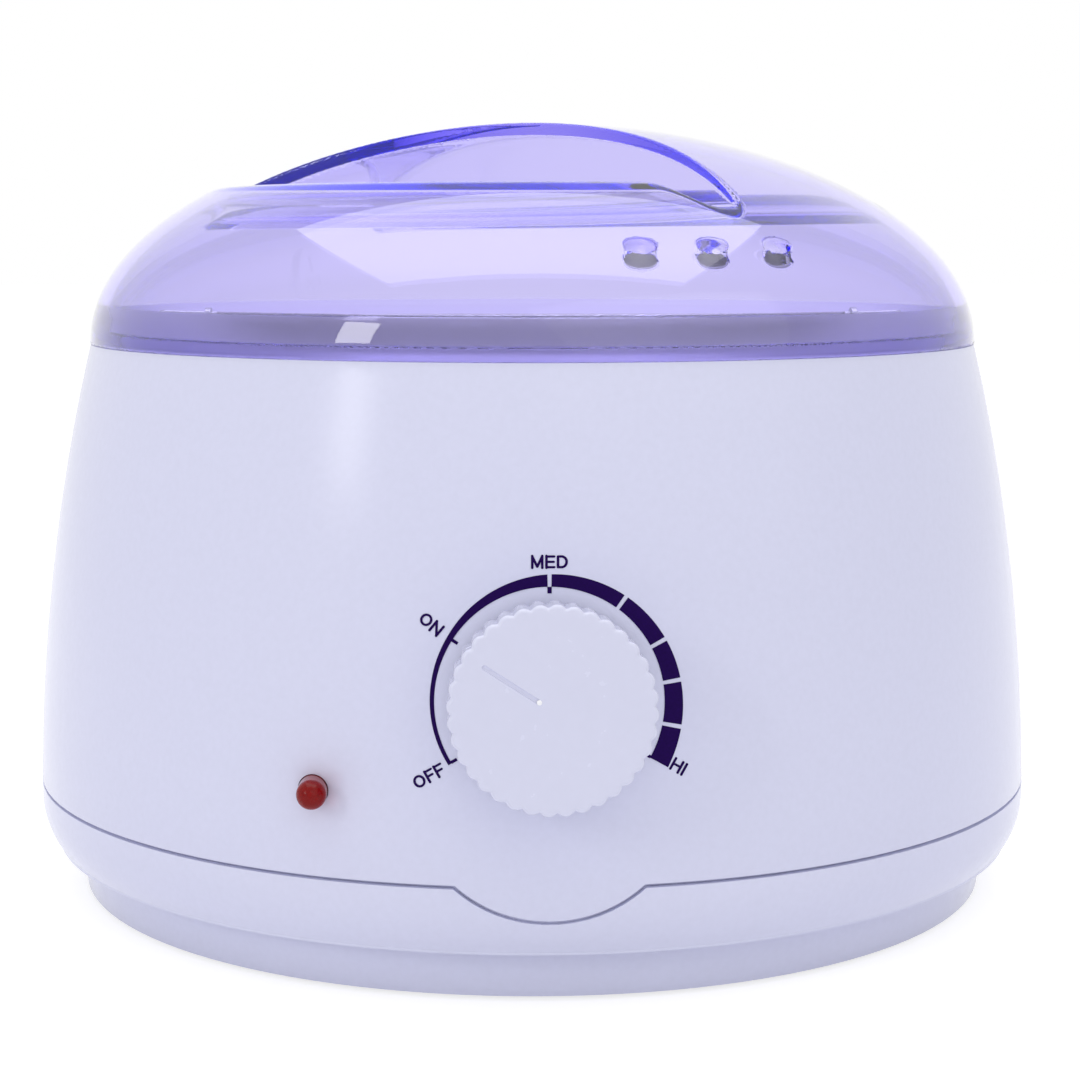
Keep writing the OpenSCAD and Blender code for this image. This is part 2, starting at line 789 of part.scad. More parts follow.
module pilot_lens() {
    color("darkred", 0.8) at_lamp() difference() {
        union() {
            rod(lamp_r, lamp_boss_back - eps, lamp_out);
            translate([0, 0, lamp_out]) sphere(r = lamp_r);
            rod(lens_flange_r, lamp_boss_back - lens_flange_t, lamp_boss_back);
        }
        rod(neon_r + neon_gap, lamp_boss_back - lens_flange_t - cut, neon_front);
    }
}

module pilot_lamp() {
    color("orange") at_lamp() {
        rod(neon_r, lamp_boss_back - neon_back, neon_front - neon_r - neon_tip_gap);
        translate([0, 0, neon_front - neon_r - neon_tip_gap]) sphere(r = neon_r - eps, $fn = 32);
    }
}

module pilot_holder() {
    color("black") at_lamp() tube(holder_r, neon_r + slip, lamp_boss_back - lens_flange_t - holder_h,
        lamp_boss_back - lens_flange_t);
}

module heater_stud() {
    color("silver") rod(stud_r, stud_bottom, well_bottom_z);
}

module mica_heater() {
    color("tan") tube(heater_r, stud_r + stud_gap, plate_top, well_bottom_z);
}

module pressure_plate() {
    color("silver") tube(heater_r - plate_edge, stud_r + stud_gap, plate_bottom, plate_top);
}

module spring_washer() {
    color("gray") difference() {
        tube(washer_r, stud_r + slip, plate_bottom - washer_t, plate_bottom);
        translate([0, -washer_split / 2, plate_bottom - washer_t - cut])
            cube([washer_r + cut, washer_split, washer_t + 2 * cut]);
    }
}

module heater_nut() {
    color("silver") hex_nut(nut6_r, stud_r + running, plate_bottom - washer_t - nut6_h,
        plate_bottom - washer_t);
}

// Shallow pan that keeps the heat off the base
module heat_shield() {
    color("silver") rotate_extrude($fn = 120) {
        translate([stud_r + shield_gap, shield_z - shield_t])
            square([shield_r - stud_r - shield_gap, shield_t]);
        polygon([[shield_r - shield_t, shield_z - shield_t], [shield_r, shield_z - shield_t],
            [shield_r + shield_flare, shield_z + shield_rim],
            [shield_r + shield_flare - shield_t, shield_z + shield_rim]]);
    }
}

module shield_nuts() {
    color("silver") {
        hex_nut(nut6_r, stud_r + running, shield_z, shield_z + nut6_h);
        hex_nut(nut6_r, stud_r + running, shield_z - shield_t - nut6_h, shield_z - shield_t);
    }
}

module thermal_fuse() {
    color("whitesmoke") translate([-fuse_place, -fuse_len / 2, fuse_z]) rotate([-90, 0, 0])
        cylinder(r = fuse_r, h = fuse_len);
}

// Strap that bends under the fuse and is screwed to the boss beside it
module fuse_clip() {
    color("silver") translate([-fuse_place, 0, fuse_z]) difference() {
        union() {
            rotate([90, 0, 0]) translate([0, 0, -clip_w / 2])
                cylinder(r = fuse_r + fuse_gap + clip_t, h = clip_w);
            translate([-fuse_boss_x - clip_end, -clip_w / 2, well_bottom_z - fuse_boss_h - clip_t - fuse_z])
                cube([fuse_boss_x + clip_end, clip_w, clip_t]);
        }
        rotate([90, 0, 0]) translate([0, 0, -clip_w]) cylinder(r = fuse_r + fuse_gap, h = 2 * clip_w);
        translate([-fuse_r - clip_open, -clip_w, clip_cut_z])
            cube([2 * (fuse_r + clip_open), 2 * clip_w, 2 * fuse_r + clip_open]);
        translate([-fuse_boss_x, 0, 0]) rod(fuse_screw_r + slip, -2 * fuse_boss_h, fuse_r);
    }
}

module fuse_screw() {
    color("silver") translate([-fuse_place - fuse_boss_x, 0, well_bottom_z - fuse_screw_short])
        mirror([0, 0, 1]) pan_screw(fuse_screw_r, fuse_boss_h + clip_t - fuse_screw_short,
            fuse_screw_head_r, fuse_screw_head_h);
}

module cord_grommet() {
    color("dimgray") at_cord() difference() {
        union() {
            rod(grommet_r, -wall - grommet_neck, grommet_flange_z + slip);
            translate([0, 0, grommet_flange_z]) cylinder(r1 = grommet_flange_r,
                r2 = grommet_flange_r - grommet_flange_edge, h = grommet_flange_t);
            translate([0, 0, -wall - grommet_neck - grommet_barb])
                cylinder(r1 = grommet_r, r2 = grommet_r + grommet_barb, h = grommet_barb_h);
        }
        rod(cord_hole_r, grommet_mouth_z, grommet_flange_z + grommet_flange_t + cut);
        rod(cord_hole_r + grommet_room, -wall - grommet_neck - grommet_barb - cut, grommet_mouth_z);
    }
}

module cord_clamp() {
    color("black") difference() {
        translate([-clamp_x - clamp_end, clamp_y - clamp_w / 2, clamp_post_top])
            cube([2 * (clamp_x + clamp_end), clamp_w, clamp_t + cord_hole_r]);
        translate([0, clamp_y + clamp_w, clamp_post_top]) rotate([90, 0, 0])
            cylinder(r = cord_hole_r, h = 2 * clamp_w);
        for (side = [-1, 1]) translate([side * clamp_x, clamp_y, 0])
            rod(clamp_screw_r + slip, clamp_post_top - cut, clamp_post_top + clamp_screw_len);
    }
}

module clamp_screws() {
    color("silver") for (side = [-1, 1])
        translate([side * clamp_x, clamp_y, clamp_post_top + clamp_t + cord_hole_r - clamp_screw_len])
            pan_screw(clamp_screw_r, clamp_screw_len, clamp_head_r, clamp_head_h);
}

// Closed-end caps over the joints of the leads, lying on the base floor
module crimp_caps() {
    color("white") for (p = crimp_at) translate([p[0], p[1] - crimp_len / 2, p[2]]) rotate([-90, 0, 0])
        difference() {
            cylinder(r = crimp_r, h = crimp_len);
            translate([0, 0, -cut]) cylinder(r = lead_r + crimp_hole_gap, h = crimp_len - crimp_wall);
        }
}

// A round lead swept along a smooth curve through its points
function lead_at(p, t) = let (n = len(p) - 1, i = min(floor(t * n), n - 1), u = t * n - i,
    a = p[max(i - 1, 0)], b = p[i], c = p[i + 1], d = p[min(i + 2, n)])
    0.5 * (2 * b + (c - a) * u + (2 * a - 5 * b + 4 * c - d) * u * u + (3 * b - a - 3 * c + d) * u * u * u);
function unit(v) = v / norm(v);
module lead(path, rings) {
    mid = [for (k = [0 : rings]) lead_at(path, k / rings)];
    way = [for (k = [0 : rings]) unit(mid[min(k + 1, rings)] - mid[max(k - 1, 0)])];
    side = [for (w = way) unit(cross(w, [0.3, 0.2, 1]))];
    points = [for (k = [0 : rings], j = [0 : lead_sides - 1]) let (a = 360 * j / lead_sides)
        mid[k] + lead_r * (cos(a) * side[k] + sin(a) * cross(way[k], side[k]))];
    wall_faces = [for (k = [0 : rings - 1], j = [0 : lead_sides - 1]) let (m = (j + 1) % lead_sides)
        each [[k * lead_sides + j, k * lead_sides + m, (k + 1) * lead_sides + m],
            [k * lead_sides + j, (k + 1) * lead_sides + m, (k + 1) * lead_sides + j]]];
    ends = [[for (j = [lead_sides - 1 : -1 : 0]) j],
        [for (j = [0 : lead_sides - 1]) rings * lead_sides + j]];
    polyhedron(points = points, faces = concat(wall_faces, ends));
}

module lead_supply() { color("red") lead(supply_path, 28); }
module lead_heater() { color("blue") lead(heater_path, 28); }
module lead_fuse() { color("red") lead(fuse_path, 28); }
module lead_link() { color("red") lead(link_path, 20); }

module placed() {
    translate([0, axis_y, 0]) children();
}

placed() lid();
placed() upper_housing();
placed() base_housing();
placed() foot(1);  // foot_1
placed() foot(2);  // foot_2
placed() foot(3);  // foot_3
placed() foot(4);  // foot_4
placed() base_screws();
placed() knob();
placed() thermostat_shaft();
placed() thermostat_body();
placed() thermostat_bracket();
placed() thermostat_nut();
placed() thermostat_terminals();
placed() thermal_fuse();
placed() fuse_clip();
placed() fuse_screw();
placed() pilot_lens();
placed() pilot_lamp();
placed() pilot_holder();
placed() pot();
placed() bail();
placed() ear(-1);  // left_ear
placed() ear(1);  // right_ear
placed() ear_rivets();
placed() heater_well();
placed() well_screws();
placed() heater_stud();
placed() mica_heater();
placed() pressure_plate();
placed() spring_washer();
placed() heater_nut();
placed() heat_shield();
placed() shield_nuts();
placed() cord_grommet();
placed() cord_clamp();
placed() clamp_screws();
placed() crimp_caps();
placed() lead_supply();
placed() lead_heater();
placed() lead_fuse();
placed() lead_link();
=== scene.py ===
# Wax warmer with a lift-out pot, a clear lid and a heat dial: the looks over its CAD frame
import json
import math
import bpy
import bmesh
import numpy as np
from mathutils import Matrix, Vector

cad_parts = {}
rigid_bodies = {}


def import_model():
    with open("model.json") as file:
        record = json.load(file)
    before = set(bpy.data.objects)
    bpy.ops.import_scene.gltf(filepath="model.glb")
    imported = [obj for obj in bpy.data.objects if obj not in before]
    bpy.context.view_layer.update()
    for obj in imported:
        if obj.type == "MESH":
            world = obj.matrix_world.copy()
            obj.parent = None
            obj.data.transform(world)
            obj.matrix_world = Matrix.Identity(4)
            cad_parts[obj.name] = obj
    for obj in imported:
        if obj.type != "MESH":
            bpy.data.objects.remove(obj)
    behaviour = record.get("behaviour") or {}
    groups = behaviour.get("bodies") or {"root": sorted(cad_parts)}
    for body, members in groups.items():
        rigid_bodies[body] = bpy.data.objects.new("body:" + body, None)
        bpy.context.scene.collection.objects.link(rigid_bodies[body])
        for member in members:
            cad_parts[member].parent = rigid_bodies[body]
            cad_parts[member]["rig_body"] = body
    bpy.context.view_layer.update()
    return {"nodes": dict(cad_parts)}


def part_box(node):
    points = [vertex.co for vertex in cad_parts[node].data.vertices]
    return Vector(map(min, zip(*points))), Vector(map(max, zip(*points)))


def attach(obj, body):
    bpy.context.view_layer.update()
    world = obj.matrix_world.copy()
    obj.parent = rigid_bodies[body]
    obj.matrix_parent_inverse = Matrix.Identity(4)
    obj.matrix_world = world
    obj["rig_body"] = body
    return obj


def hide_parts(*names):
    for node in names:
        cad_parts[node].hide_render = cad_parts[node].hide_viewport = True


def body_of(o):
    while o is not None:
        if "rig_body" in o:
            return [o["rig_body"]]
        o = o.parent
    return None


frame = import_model()
nodes = frame["nodes"]
mm = 0.001
tiny = 1e-9  # keeps a division clear of zero
wellLow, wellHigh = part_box("heater_well")
axisY = (wellLow.y + wellHigh.y) / 2  # the round body's axis stands a little behind the origin
print("frame loaded, axis at", round(axisY / mm, 3), "mm")


# small tools
def newMesh(name, points, faces):
    mesh = bpy.data.meshes.new(name)
    mesh.from_pydata([tuple(p) for p in points], [], [tuple(f) for f in faces])
    mesh.update()
    return mesh


def newObject(name, data):
    added = bpy.data.objects.new(name, data)
    bpy.context.scene.collection.objects.link(added)
    return added


def placePiece(name, mesh, body, material, smooth=True):
    piece = newObject(name, mesh)
    mesh.materials.clear()
    mesh.materials.append(material)
    mesh.polygons.foreach_set("use_smooth", [smooth] * len(mesh.polygons))
    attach(piece, body)
    return piece


def applied(piece):
    # the piece's mesh with its modifiers worked in, which it then has as its own
    seen = bpy.context.evaluated_depsgraph_get()
    mesh = bpy.data.meshes.new_from_object(piece.evaluated_get(seen))
    piece.modifiers.clear()
    piece.data = mesh
    return mesh


def bandFaces(first, second, around):
    # quads between two rings of points
    turns = [(i, (i + 1) % around) for i in range(around)]
    return [(first + i, first + j, second + j, second + i) for i, j in turns]


def capFaces(ring, middle, around, flip=False):
    # triangles from a ring of points to the one in its middle
    faces = [(ring + i, ring + (i + 1) % around, middle) for i in range(around)]
    return [face[::-1] for face in faces] if flip else faces


def clearTree(owner):
    # the emptied node tree of a material or a world
    owner.use_nodes = True
    owner.node_tree.nodes.clear()
    return owner.node_tree


def addNode(tree, kind, inputs=None, **settings):
    # one shader node; an input is linked where it is given a socket and set where it is given a value
    added = tree.nodes.new("ShaderNode" + kind)
    for key, value in settings.items():
        setattr(added, key, value)
    for key, value in (inputs or {}).items():
        if isinstance(value, bpy.types.NodeSocket):
            tree.links.new(value, added.inputs[key])
        else:
            added.inputs[key].default_value = value
    return added


def addMath(tree, kind, *values):
    return addNode(tree, "Math", dict(enumerate(values)), operation=kind).outputs[0]


# the side wall's arc, from the widest ring up to the rim
bodyShape = {"widest": 93 * mm, "rim": 82.2 * mm, "arc": 363 * mm, "seamZ": 20.8 * mm, "rimZ": 100.6 * mm}
sideIn = bodyShape["widest"] - bodyShape["rim"]
sideUp = bodyShape["rimZ"] - bodyShape["seamZ"]
chord = math.hypot(sideIn, sideUp)
reach = math.sqrt(bodyShape["arc"] ** 2 - chord ** 2 / 4)
arcR = (bodyShape["widest"] + bodyShape["rim"]) / 2 - reach * sideUp / chord
arcZ = (bodyShape["seamZ"] + bodyShape["rimZ"]) / 2 - reach * sideIn / chord


def wallRadius(z):
    return arcR + math.sqrt(bodyShape["arc"] ** 2 - (z - arcZ) ** 2)


def wallTilt(z):
    return math.degrees(math.asin((z - arcZ) / bodyShape["arc"]))


# finishes: grain and dentGrain are noise scales per metre, shade is the unevenness of the tone and dent the
# height of the relief; body and depth are the colour and strength that a clear plastic takes up light with
finishes = {
    "housingWhite": {"colour": (0.70, 0.71, 0.88), "rough": 0.19, "specular": 0.24, "grain": 900,
                     "shade": 0.012, "dent": 0.01 * mm, "dentGrain": 70},
    "knobWhite": {"colour": (0.68, 0.69, 0.85), "rough": 0.26, "coat": 0.25, "coatRough": 0.10,
                  "grain": 500, "shade": 0.008, "dent": 0.01 * mm, "dentGrain": 90},
    "dotWhite": {"colour": (0.95, 0.95, 0.97), "rough": 0.2, "coat": 0.4, "grain": 2500, "shade": 0.02,
                 "dent": 0.01 * mm, "dentGrain": 2500},
    "lidViolet": {"colour": (0.965, 0.96, 0.998), "rough": 0.02, "clear": 1.0, "ior": 1.20, "grain": 300,
                  "shade": 0.002, "coat": 1.0, "coatRough": 0.02, "dent": 0.01 * mm, "dentGrain": 60,
                  "body": (0.19, 0.06, 0.94), "depth": 108.0,
                  # the sandblasted step round the lid's inside; its tint is painted shade, a deeper violet
                  # for the darker band that the shaded space behind it gives
                  "frostAndShade": {"below": 107.2 * mm, "within": 80.3 * mm, "rough": 0.55,
                            "tint": (0.84, 0.82, 1.0)}},
    "lensRed": {"colour": (0.44, 0.002, 0.002), "rough": 0.02, "clear": 0.62, "specular": 0.1, "ior": 1.22,
                "coat": 0.22, "grain": 500, "shade": 0.05, "dent": 0.01 * mm, "dentGrain": 400},
    "neonGlass": {"colour": (0.75, 0.22, 0.10), "rough": 0.08, "clear": 0.6, "ior": 1.5, "grain": 500,
                  "shade": 0.05, "dent": 0.01 * mm, "dentGrain": 600},
    "printPurple": {"colour": (0.015, 0.002, 0.070), "rough": 0.6, "specular": 0.05, "grain": 3000,
                    "shade": 0.12, "dent": 0.01 * mm, "dentGrain": 2500},
    "potAluminium": {"colour": (0.72, 0.72, 0.74), "rough": 0.24, "metal": 1.0, "grain": 600,
                     "shade": 0.05, "dent": 0.03 * mm, "dentGrain": 180, "spun": True},
    "wellAluminium": {"colour": (0.60, 0.60, 0.62), "rough": 0.36, "metal": 1.0, "grain": 500,
                      "shade": 0.06, "dent": 0.03 * mm, "dentGrain": 160, "spun": True},
    "brightSteel": {"colour": (0.58, 0.59, 0.61), "rough": 0.10, "metal": 1.0, "grain": 700, "shade": 0.04,
                    "dent": 0.01 * mm, "dentGrain": 500},
    "zincSteel": {"colour": (0.60, 0.61, 0.63), "rough": 0.34, "metal": 1.0, "grain": 900, "shade": 0.10,
                  "dent": 0.03 * mm, "dentGrain": 700},
    "rivetAluminium": {"colour": (0.72, 0.72, 0.74), "rough": 0.30, "metal": 1.0, "grain": 1200,
                       "shade": 0.08, "dent": 0.02 * mm, "dentGrain": 900},
    "brass": {"colour": (0.70, 0.48, 0.20), "rough": 0.30, "metal": 1.0, "grain": 900, "shade": 0.08,
              "dent": 0.02 * mm, "dentGrain": 900},
    "phenolic": {"colour": (0.050, 0.026, 0.016), "rough": 0.50, "grain": 700, "shade": 0.35,
                 "dent": 0.04 * mm, "dentGrain": 900},
    "ceramic": {"colour": (0.76, 0.74, 0.68), "rough": 0.55, "grain": 900, "shade": 0.06,
                "dent": 0.04 * mm, "dentGrain": 1200},
    "mica": {"colour": (0.30, 0.22, 0.12), "rough": 0.45, "grain": 240, "shade": 0.40, "dent": 0.05 * mm,
             "dentGrain": 500},
    "blackPlastic": {"colour": (0.018, 0.018, 0.021), "rough": 0.45, "grain": 900, "shade": 0.20,
                     "dent": 0.03 * mm, "dentGrain": 1400},
    "blackRubber": {"colour": (0.022, 0.022, 0.024), "rough": 0.68, "grain": 700, "shade": 0.25,
                    "dent": 0.05 * mm, "dentGrain": 1500},
    "nylonWhite": {"colour": (0.74, 0.72, 0.66), "rough": 0.42, "grain": 700, "shade": 0.05,
                   "dent": 0.02 * mm, "dentGrain": 800},
    "leadRed": {"colour": (0.36, 0.012, 0.012), "rough": 0.42, "grain": 500, "shade": 0.12,
                "dent": 0.03 * mm, "dentGrain": 700},
    "leadBlue": {"colour": (0.012, 0.05, 0.28), "rough": 0.42, "grain": 500, "shade": 0.12,
                 "dent": 0.03 * mm, "dentGrain": 700},
}


# what all the finishes share
finishWork = {
    "toneStops": (0.30, 0.70), "toneDetail": 4.0, "glossSpread": (0.85, 1.15), "dentDetail": 2.0,
    "dentShare": 0.5,
}


def axisPlace(tree, place):
    # how far a place lies from the body's axis, and its height
    split = addNode(tree, "SeparateXYZ", {0: place}).outputs
    depth = addMath(tree, "SUBTRACT", split["Y"], axisY)
    flat = addNode(tree, "CombineXYZ", {"X": split["X"], "Y": depth}).outputs[0]
    far = addNode(tree, "VectorMath", {0: flat}, operation="LENGTH").outputs["Value"]
    return far, split["Z"]


def frostAndShadeZone(tree, place, frostAndShade):
    # where the lid's step is sandblasted and painted with shade: 1 below a height and within a radius of the
    # body's axis, 0 elsewhere
    far, height = axisPlace(tree, place)
    low = addMath(tree, "LESS_THAN", height, frostAndShade["below"])
    near = addMath(tree, "LESS_THAN", far, frostAndShade["within"])
    return addMath(tree, "MULTIPLY", low, near)


def finish(name):
    # one moulded, turned or plated finish: uneven tone, uneven gloss and a faint relief, in object space
    look = finishes[name]
    material = bpy.data.materials.new(name)
    tree = clearTree(material)
    place = addNode(tree, "TexCoord").outputs["Object"]
    where = place
    if look.get("spun"):  # turned metal: the noise runs round the axis in fine rings
        far, height = axisPlace(tree, place)
        where = addNode(tree, "CombineXYZ", {"X": far, "Y": height}).outputs[0]
    cloud = addNode(tree, "TexNoise", {
        "Scale": look["grain"], "Detail": finishWork["toneDetail"], "Vector": where})
    tone = addNode(tree, "ValToRGB", {"Fac": cloud.outputs["Fac"]})
    gains = (1 - look["shade"], 1 + look["shade"])
    for stop, spot, gain in zip(tone.color_ramp.elements, finishWork["toneStops"], gains):
        stop.position = spot
        stop.color = [min(1.0, part * gain) for part in look["colour"]] + [1.0]
    paint = tone.outputs["Color"]
    low, high = (look["rough"] * spread for spread in finishWork["glossSpread"])
    gloss = addNode(tree, "MapRange", {"Value": cloud.outputs["Fac"], "To Min": low, "To Max": high})
    rough = gloss.outputs["Result"]
    if look.get("frostAndShade"):  # the step round the lid's inside is sandblasted, and painted shade tints its violet deeper and darker there
        frostAndShade, mask = look["frostAndShade"], frostAndShadeZone(tree, place, look["frostAndShade"])
        # painted shade: the step's violet multiplied by the tint, darker as the shaded space behind the band
        # makes it look
        paintedShade = {0: mask, 6: paint, 7: (*frostAndShade["tint"], 1)}
        paint = addNode(tree, "Mix", paintedShade, data_type="RGBA", blend_type="MULTIPLY").outputs[2]
        rough = addMath(tree, "MULTIPLY_ADD", mask, frostAndShade["rough"], rough)
    relief = addNode(tree, "TexNoise", {
        "Scale": look["dentGrain"], "Detail": finishWork["dentDetail"], "Vector": where})
    bump = addNode(tree, "Bump", {
        "Distance": look["dent"], "Strength": finishWork["dentShare"], "Height": relief.outputs["Fac"]})
    skin = addNode(tree, "BsdfPrincipled", {
        "Base Color": paint, "Roughness": rough, "Normal": bump.outputs["Normal"],
        "Metallic": look.get("metal", 0.0), "Transmission Weight": look.get("clear", 0.0),
        "IOR": look.get("ior", 1.5), "Specular IOR Level": look.get("specular", 0.5),
        "Coat Weight": look.get("coat", 0.0), "Coat Roughness": look.get("coatRough", 0.03),
    })
    ends = {"Surface": skin.outputs["BSDF"]}
    if look.get("depth"):  # colour that deepens with the thickness of the plastic
        depths = {"Color": (*look["body"], 1), "Density": look["depth"]}
        ends["Volume"] = addNode(tree, "VolumeAbsorption", depths).outputs[0]
    addNode(tree, "OutputMaterial", ends)
    return material


made = {name: finish(name) for name in finishes}
print("finishes made:", len(made))

nodeFinish = {
    "lid": "lidViolet", "upper_housing": "housingWhite", "base_housing": "housingWhite",
    "foot_1": "blackRubber", "foot_2": "blackRubber", "foot_3": "blackRubber",
    "foot_4": "blackRubber", "base_screws": "zincSteel", "knob": "knobWhite",
    "thermostat_shaft": "brass", "thermostat_body": "phenolic", "thermostat_bracket": "zincSteel",
    "thermostat_nut": "zincSteel", "thermostat_terminals": "brass", "thermal_fuse": "ceramic",
    "fuse_clip": "zincSteel", "fuse_screw": "zincSteel", "pilot_lens": "lensRed",
    "pilot_lamp": "neonGlass", "pilot_holder": "blackPlastic", "pot": "potAluminium",
    "bail": "brightSteel", "left_ear": "zincSteel", "right_ear": "zincSteel",
    "ear_rivets": "rivetAluminium", "heater_well": "wellAluminium", "well_screws": "zincSteel",
    "heater_stud": "zincSteel", "mica_heater": "mica", "pressure_plate": "zincSteel",
    "spring_washer": "zincSteel", "heater_nut": "zincSteel", "heat_shield": "zincSteel",
    "shield_nuts": "zincSteel", "cord_grommet": "blackRubber", "cord_clamp": "blackPlastic",
    "clamp_screws": "zincSteel", "crimp_caps": "nylonWhite", "lead_supply": "leadRed",
    "lead_heater": "leadBlue", "lead_fuse": "leadRed", "lead_link": "leadRed",
}
for nodeName, look in nodeFinish.items():
    data = nodes[nodeName].data
    data.materials.clear()
    data.materials.append(made[look])
print("CAD nodes finished:", len(nodeFinish))


# housings with softened moulding edges
softEdge = {
    "pieces": {"upper_housing": "upperHousing", "base_housing": "baseHousing"},
    "round": 0.45 * mm, "rings": 3, "angle": 28, "merge": 0.002 * mm, "sharp": 40,
}


def softened(node, name, look):
    # a copy of the node with its seam, rim and step edges rounded as a mould leaves them
    mesh = nodes[node].data.copy()
    work = bmesh.new()
    work.from_mesh(mesh)
    bmesh.ops.remove_doubles(work, verts=work.verts, dist=look["merge"])
    work.to_mesh(mesh)
    work.free()
    piece = newObject(name, mesh)
    edge = piece.modifiers.new("edge", "BEVEL")
    edge.width, edge.segments = look["round"], look["rings"]
    edge.limit_method, edge.angle_limit = "ANGLE", math.radians(look["angle"])
    edge.use_clamp_overlap = True
    done = applied(piece)
    done.polygons.foreach_set("use_smooth", [True] * len(done.polygons))
    done.set_sharp_from_angle(angle=math.radians(look["sharp"]))
    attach(piece, body_of(nodes[node])[0])
    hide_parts(node)


for nodeName, pieceName in softEdge["pieces"].items():
    softened(nodeName, pieceName, softEdge)
print("housings softened")


# the tongue-and-groove step inside the seam, a little way behind the surface
seamRing = {
    "gap": 0.6 * mm, "tongueR": 22.4 * mm, "tongueDrop": 5.5 * mm, "outer": 91.75 * mm, "inner": 90.5 * mm,
    "room": 0.04 * mm, "turns": 720,
}


def seamHeight(x, front, grow):
    # height of the seam line at x; grow is 0 along the upper housing and the gap along the base
    look, flat = seamRing, bodyShape["seamZ"] - grow
    far = look["tongueR"] + grow
    if not front or abs(x) >= far:
        return flat
    tongue = bodyShape["seamZ"] - look["tongueDrop"] + look["tongueR"] - math.sqrt(far * far - x * x)
    return min(flat, tongue)


def seamRingMesh(look):
    # each turn's four corners: radius, how far below the upper housing, and which way its room goes
    corners = [(look["outer"], look["gap"], 1), (look["outer"], 0, -1),
               (look["inner"], 0, -1), (look["inner"], look["gap"], 1)]
    points, faces = [], []
    for i in range(look["turns"]):
        a = 2 * math.pi * i / look["turns"]
        for r, grow, room in corners:
            x, y = r * math.sin(a), -r * math.cos(a)
            points.append((x, axisY + y, seamHeight(x, y < 0, grow) + room * look["room"]))
        j = (i + 1) % look["turns"]
        for k in range(4):
            m = (k + 1) % 4
            faces.append((4 * i + k, 4 * j + k, 4 * j + m, 4 * i + m))
    return points, faces


seamMesh = newMesh("seamStep", *seamRingMesh(seamRing))
placePiece("seamStep", seamMesh, "housing", made["housingWhite"], smooth=False)
print("seam step made")


# lid: its grip lies across the middle at turn, with a finger pocket cut in on each side
lidPiece = {
    "rim": 82.35 * mm, "height": 40.35 * mm, "bottom": 100.65 * mm, "wall": 2.2 * mm,
    "bandHeight": 6.6 * mm, "bandWall": 3.2 * mm, "shelfHeight": 2.0 * mm, "skirtDepth": 2.2 * mm,
    "skirtRadius": 79.0 * mm, "boreRadius": 77.1 * mm, "turn": -38.3, "gripHalf": 6.9 * mm,
    "gripArc": 110 * mm, "pocketHeight": 28.2 * mm, "pocketFall": 4.2 * mm, "slopeWidth": 14 * mm,
    "slopeFoot": 3 * mm, "edgeRound": 0.5 * mm, "footRound": 1.0 * mm, "lipRound": 0.35 * mm,
    "ventCircle": 73.7 * mm, "ventHalf": (1.0 * mm, 2.7 * mm), "ventAngles": (11.6, 21.1, 30.6),
    "ventFoot": 10 * mm,
}


def roundMax(a, b, r):
    # where two solids cut each other, with the edge between them rounded to radius r
    return np.minimum(-r, np.maximum(a, b)) + np.hypot(np.maximum(a + r, 0), np.maximum(b + r, 0))


def domeField(x, y, z, inset):
    wide, tall = lidPiece["rim"] - inset, lidPiece["height"] - inset
    up = np.maximum(z - lidPiece["bottom"], 0)
    far = np.hypot(x, y)
    size = np.sqrt((far / wide) ** 2 + (up / tall) ** 2) + tiny
    slope = np.sqrt((far / wide ** 2) ** 2 + (up / tall ** 2) ** 2) / size + tiny
    return (size - 1) / slope


def pocketField(x, y, z, grow, side, corner):
    # below zero where a finger pocket is open; side turns it to the front or the back of the grip
    turn = math.radians(lidPiece["turn"] + side)
    u = x * math.cos(turn) + y * math.sin(turn)
    v = -x * math.sin(turn) + y * math.cos(turn)
    far = np.hypot(u, v + lidPiece["gripHalf"] + lidPiece["gripArc"])
    arc, top = lidPiece["gripArc"] + grow, lidPiece["bottom"] + lidPiece["pocketHeight"] - grow
    start, end = arc - lidPiece["slopeWidth"], arc - lidPiece["slopeFoot"]
    share = np.clip((far - start) / (end - start), 0, 1)
    floor = top - lidPiece["pocketFall"] * share * share * (3 - 2 * share)
    return roundMax(floor - z, far - arc, corner)


def lidField(x, y, z):
    look = lidPiece
    far = np.hypot(x, y)
    outer = domeField(x, y, z, 0)
    hollow = domeField(x, y, z, look["wall"])
    for side in (0, 180):
        outer = roundMax(outer, -pocketField(x, y, z, 0, side, look["footRound"]), look["edgeRound"])
        inner = pocketField(x, y, z, look["wall"], side, look["footRound"] + look["wall"])
        hollow = roundMax(hollow, -inner, look["lipRound"])
    low = look["bottom"]
    outer = roundMax(outer, low - z, look["lipRound"])
    skirt = np.maximum(low - look["skirtDepth"] - z, z - low - look["lipRound"])
    skirt = roundMax(far - look["skirtRadius"], skirt, look["lipRound"])
    outer = np.minimum(outer, skirt)
    band = np.maximum(z - low - look["bandHeight"], look["rim"] - look["bandWall"] - far)
    shelf = np.maximum(z - low - look["shelfHeight"], look["boreRadius"] - far)
    hollow = roundMax(hollow, -band, look["lipRound"])
    hollow = roundMax(hollow, -shelf, look["lipRound"])
    field = roundMax(outer, -hollow, look["lipRound"])
    for angle in look["ventAngles"]:
        a = math.radians(angle)
        outward = x * math.sin(a) - y * math.cos(a) - look["ventCircle"]
        along = x * math.cos(a) + y * math.sin(a)
        short, long = look["ventHalf"]
        size = np.hypot(outward / short, along / long) + tiny
        hole = (size - 1) * size / (np.hypot(outward / short ** 2, along / long ** 2) + tiny)
        field = roundMax(field, -np.maximum(hole, low + look["ventFoot"] - z), look["lipRound"])
    return field


# how the lid's surface is meshed: the spacing of its grid, and how its points are drawn onto the surface
lidNet = {"grid": 0.5 * mm, "passes": 3, "probe": 0.02 * mm, "leastSlope": 0.05, "mostMove": 0.4}
cellCorners = [(i, j, k) for i in (0, 1) for j in (0, 1) for k in (0, 1)]


